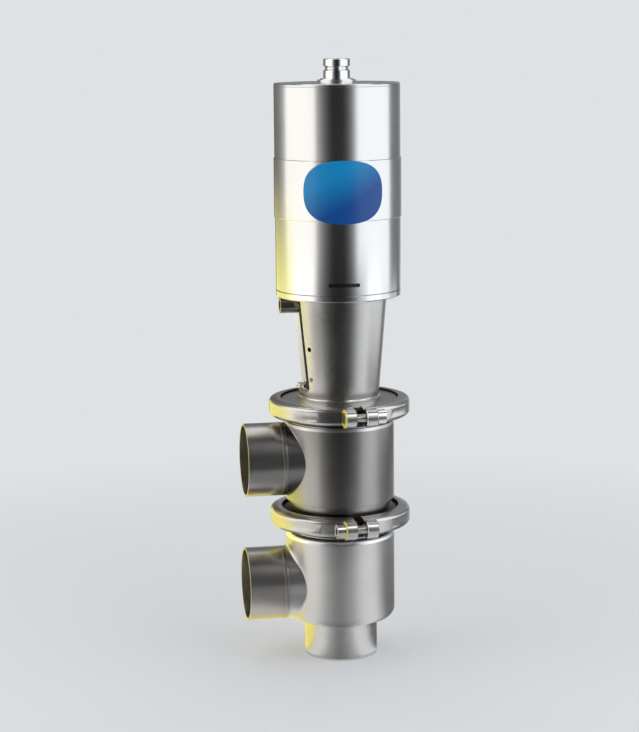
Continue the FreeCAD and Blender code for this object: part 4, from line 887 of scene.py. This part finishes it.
def label_mesh():
    """A thin sheet with round ends, closed at the back, bent round the sleeve."""
    around, rings, power = 160, 14, 2.5
    shape = bmesh.new()
    turn = math.radians(LABEL_TURN)

    def point(step, share, out):
        angle = FULL * step / around
        wide = math.copysign(abs(math.cos(angle)) ** (2 / power), math.cos(angle)) * LABEL_WIDTH / 2 * share
        high = math.copysign(abs(math.sin(angle)) ** (2 / power), math.sin(angle)) * LABEL_HEIGHT / 2 * share
        spin = turn + wide / LABEL_RADIUS
        radius = (LABEL_RADIUS + out) * MM
        height = (LABEL_MIDDLE + high) * MM
        return shape.verts.new((math.sin(spin) * radius, -math.cos(spin) * radius, height))

    rows = []
    for index in range(1, rings + 1):
        rows.append([point(step, index / rings * 0.996, 0.16) for step in range(around)])
    rows.append([point(step, 1.0, 0.10) for step in range(around)])
    rows.append([point(step, 1.0, 0.0) for step in range(around)])
    back = [[point(step, index / rings, 0.0) for step in range(around)] for index in range(rings - 1, 0, -1)]
    rows.extend(back)
    for inner, outer in zip(rows, rows[1:]):
        for step in range(around):
            after = (step + 1) % around
            shape.faces.new((inner[step], outer[step], outer[after], inner[after]))
    middle = point(0, 0.0, 0.16)
    rear = point(0, 0.0, 0.0)
    for step in range(around):
        after = (step + 1) % around
        shape.faces.new((middle, rows[0][step], rows[0][after]))
        shape.faces.new((rear, rows[-1][after], rows[-1][step]))
    bmesh.ops.recalc_face_normals(shape, faces=shape.faces)
    for face in shape.faces:
        face.smooth = True
    return from_bmesh("blank_label", shape)


added("blank_label", true_normals(label_mesh(), (UPRIGHT,)), film.block, "housing")

# Clamps: heavy V-grooved bands cast in two halves, hinged at the back on a link with two headed pins and
# drawn together at the front by a cap screw through round lugs. Blasted, with tumbled edges; the groove and
# inner faces take painted shade, and the left lug's turned end face a painted yellow reflection of a warm
# light.
clamp_steel = ground_steel(
    "blasted_clamp_steel", (0.66, 0.636, 0.612), 0.25, BLASTED, 0.05, mottle=0.07, grain=0.007
)
bush_bronze = ground_steel("turned_bronze", (0.78, 0.66, 0.36), 0.26, (600, 600, 600), mottle=0.06)
CLAMP_TURN = math.radians(5.4)
LUG_REACH = 71.0 * MM
LUG_GAP, LUG_LENGTH, LUG_RADIUS = 9.5, 11.0, 9.0
GROOVE_REACH = 64 * MM
THREAD_CREST, THREAD_ROOT, THREAD_PITCH = 4.0, 3.35, 1.25
# Painted reflection: the left lug's turned end face is painted yellow, a painted reflection of a warm light.
painted_yellow_reflection = ground_steel("painted_yellow_reflection", (0.92, 0.74, 0.05), 0.40, (600, 600, 600), mottle=0.05, metal=0.25)
along_screw = Vector((math.cos(CLAMP_TURN), math.sin(CLAMP_TURN), 0))


def thread_mesh(name, place):
    """A rolled thread between the lugs, closed at both ends, drawn about Z and then laid along the screw."""
    around, steps = 48, 144
    length = LUG_GAP + 1.0
    shape = bmesh.new()
    rows = []
    for index in range(steps + 1):
        height = (index / steps - 0.5) * length
        row = []
        for step in range(around):
            wave = (height / THREAD_PITCH - step / around) % 1.0
            crest = min(1.0, max(0.0, abs(wave - 0.5) * 2.6 - 0.15))
            out = (THREAD_ROOT + (THREAD_CREST - THREAD_ROOT) * crest) * MM
            angle = FULL * step / around
            row.append(shape.verts.new((out * math.cos(angle), out * math.sin(angle), height * MM)))
        rows.append(row)
    for low, high in zip(rows, rows[1:]):
        for step in range(around):
            after = (step + 1) % around
            shape.faces.new((low[step], low[after], high[after], high[step]))
    shape.faces.new(rows[0][::-1])
    shape.faces.new(rows[-1])
    mesh = from_bmesh(name, shape)
    mesh.shade_smooth()
    mesh.transform(place)
    return mesh


for clamp, height in (("lower_clamp", 138.4), ("upper_clamp", 244.7)):
    lug_middle = Vector((LUG_REACH * math.sin(CLAMP_TURN), -LUG_REACH * math.cos(CLAMP_TURN), height * MM))
    about_screw = (tuple(lug_middle), tuple(along_screw))

    def thin_the_shank(shape, middle=lug_middle):
        """Turns the plain shank down to below the thread's root."""
        for vertex in shape.verts:
            arm = vertex.co - middle
            arm -= arm.dot(along_screw) * along_screw
            if abs(arm.length - THREAD_CREST * MM) < 0.05 * MM:
                vertex.co -= arm * (1 - (THREAD_ROOT - 0.15) / THREAD_CREST)

    left_end = lug_middle - along_screw * (LUG_GAP / 2 + LUG_LENGTH) * MM
    for part in ("screw_half", "bush_half", "hinge_link", "hinge_pins"):
        made = dressed_copy(f"{clamp}_{part}", clamp_steel, (UPRIGHT, about_screw), edge=0.35)
        if part.endswith("half"):
            made.data.materials.append(painted_shade_steel)
            made.data.materials.append(painted_yellow_reflection)
            for face in made.data.polygons:
                out = Vector((face.center.x, face.center.y, 0))
                arm = face.center - left_end
                on_left_end = abs(arm.dot(along_screw)) < 1.0 * MM and arm.length < LUG_RADIUS * MM
                # The left lug's end face takes the painted yellow reflection.
                if on_left_end and face.normal.dot(along_screw) < -0.5:
                    face.material_index = 2
                # The groove and the clamp's other inward faces take painted shade.
                elif out.length < GROOVE_REACH and face.normal.dot(out.normalized()) < -0.1:
                    face.material_index = 1
    dressed_copy(f"{clamp}_screw", screw_steel, (about_screw,), change=thin_the_shank)
    dressed_copy(f"{clamp}_bush", bush_bronze, (about_screw,))
    lying = Matrix.Rotation(CLAMP_TURN, 4, "Z") @ Matrix.Rotation(math.pi / 2, 4, "Y")
    laid = Matrix.Translation(lug_middle) @ lying
    thread = thread_mesh(f"{clamp}_thread", laid)
    added(f"{clamp}_thread", thread, screw_steel, "housing")

# Coupling: a split collar of turned steel that holds the stem head to the rod end. Two cross screws close its
# halves, and it is seen through the lantern's window.
coupling_steel = ground_steel("turned_coupling_steel", (0.24, 0.233, 0.225), 0.30, AROUND_Z, 0.10, 0.03)
for node in ("coupling_front_half", "coupling_rear_half"):
    dressed_copy(node, coupling_steel)
dressed_copy("coupling_screws", screw_steel, ())

# Closing spring: one round wire of drawn spring steel, coiled cold and phosphated dark. It stands on the
# piston under the top cover, and the stroke presses it together.
SPRING_RADIUS, SPRING_WIRE, SPRING_TURNS = 38 * MM, 4 * MM, 6.0
SPRING_LOW, SPRING_HIGH = 395.1 * MM, 534 * MM
POINTS_A_TURN, SIDES_OF_WIRE = 96, 28
spring_steel = ground_steel("drawn_spring_steel", (0.30, 0.29, 0.28), 0.36, (240, 240, 240), mottle=0.10)


def coil_of(name, material):
    """A round wire along a helix about Z, closed at both ends."""
    tree, given, result, values = node_tree(f"{name}_coil", (
        ("Turns", "Float", SPRING_TURNS), ("Coil", "Float", SPRING_RADIUS), ("Wire", "Float", SPRING_WIRE),
        ("Low", "Float", SPRING_LOW), ("Rise", "Float", SPRING_HIGH - SPRING_LOW),
        ("Material", "Material", material),
    ))
    helix = tree.nodes.new("GeometryNodeCurveSpiral")
    helix.inputs["Resolution"].default_value = POINTS_A_TURN
    helix.inputs["Reverse"].default_value = True
    wire = tree.nodes.new("GeometryNodeCurvePrimitiveCircle")
    wire.inputs["Resolution"].default_value = SIDES_OF_WIRE
    sweep = tree.nodes.new("GeometryNodeCurveToMesh")
    sweep.inputs["Fill Caps"].default_value = True
    lift = tree.nodes.new("ShaderNodeCombineXYZ")
    moved = tree.nodes.new("GeometryNodeTransform")
    real = tree.nodes.new("GeometryNodeRealizeInstances")
    painted = tree.nodes.new("GeometryNodeSetMaterial")
    for out, into in (
        (given.outputs["Turns"], helix.inputs["Rotations"]), (given.outputs["Rise"], helix.inputs["Height"]),
        (given.outputs["Coil"], helix.inputs["Start Radius"]),
        (given.outputs["Coil"], helix.inputs["End Radius"]),
        (given.outputs["Wire"], wire.inputs["Radius"]), (helix.outputs[0], sweep.inputs["Curve"]),
        (wire.outputs[0], sweep.inputs["Profile Curve"]), (given.outputs["Low"], lift.inputs["Z"]),
        (lift.outputs[0], moved.inputs["Translation"]), (sweep.outputs[0], moved.inputs["Geometry"]),
        (moved.outputs[0], real.inputs[0]), (real.outputs[0], painted.inputs["Geometry"]),
        (given.outputs["Material"], painted.inputs["Material"]), (painted.outputs[0], result.inputs[0]),
    ):
        tree.links.new(out, into)
    return grown(name, tree, values, bpy.data.meshes.new("no_unit"))


coil = true_normals(coil_of("closing_spring", spring_steel), ())
spring = added("closing_spring", coil, spring_steel, "housing", ("actuator_spring",))
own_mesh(spring)

# Inside: plugs and seat ring of turned steel, moulded rubber seals, plastic bushes and guide bands, and
# an aluminium piston. None of it shows until the valve is opened.


def rubber():
    made = Recipe("moulded_rubber")
    grain = made.noise((500, 500, 500))
    tint = made.mix(grain, (0.012, 0.012, 0.013), (0.030, 0.029, 0.028))
    made.set(Base_Color=tint, Roughness=0.62 + grain * 0.2)
    made.bump(grain, 0.05 * MM, 0.5)
    return made.block


def plastic():
    made = Recipe("machined_plastic")
    lines = made.noise(AROUND_Z)
    tint = made.mix(made.noise((60, 60, 60)), (0.66, 0.65, 0.60), (0.74, 0.73, 0.69))
    made.set(Base_Color=tint, Roughness=0.42 + lines * 0.16)
    made.bump(lines, 0.02 * MM, 0.4)
    return made.block


finish_of_slot = {
    "tube_steel": tube_steel,
    "housing_steel": housing_steel,
    "clamp_steel": clamp_steel,
    "actuator_steel": barrel_steel,
    "lantern_steel": lantern_steel,
    "rod_steel": rod_steel,
    "plug_steel": ground_steel("turned_plug_steel", (0.62, 0.605, 0.585), 0.22, AROUND_Z, 0.10, 0.03),
    "screw_steel": screw_steel,
    "spring_steel": spring_steel,
    "piston_aluminium": ground_steel("turned_aluminium", (0.72, 0.72, 0.73), 0.30, AROUND_Z, 0.12, 0.02),
    "seal_rubber": rubber(),
    "bush_plastic": plastic(),
    "bush_bronze": bush_bronze,
}
burnt_wire = ground_steel("burnished_wire_steel", (0.07, 0.066, 0.062), 0.42, (240, 240, 240), mottle=0.10)
for node, slot in slot_of.items():
    kept = frame["nodes"][node].data.materials
    kept.clear()
    kept.append(burnt_wire if node == "retaining_wire" else finish_of_slot[slot])
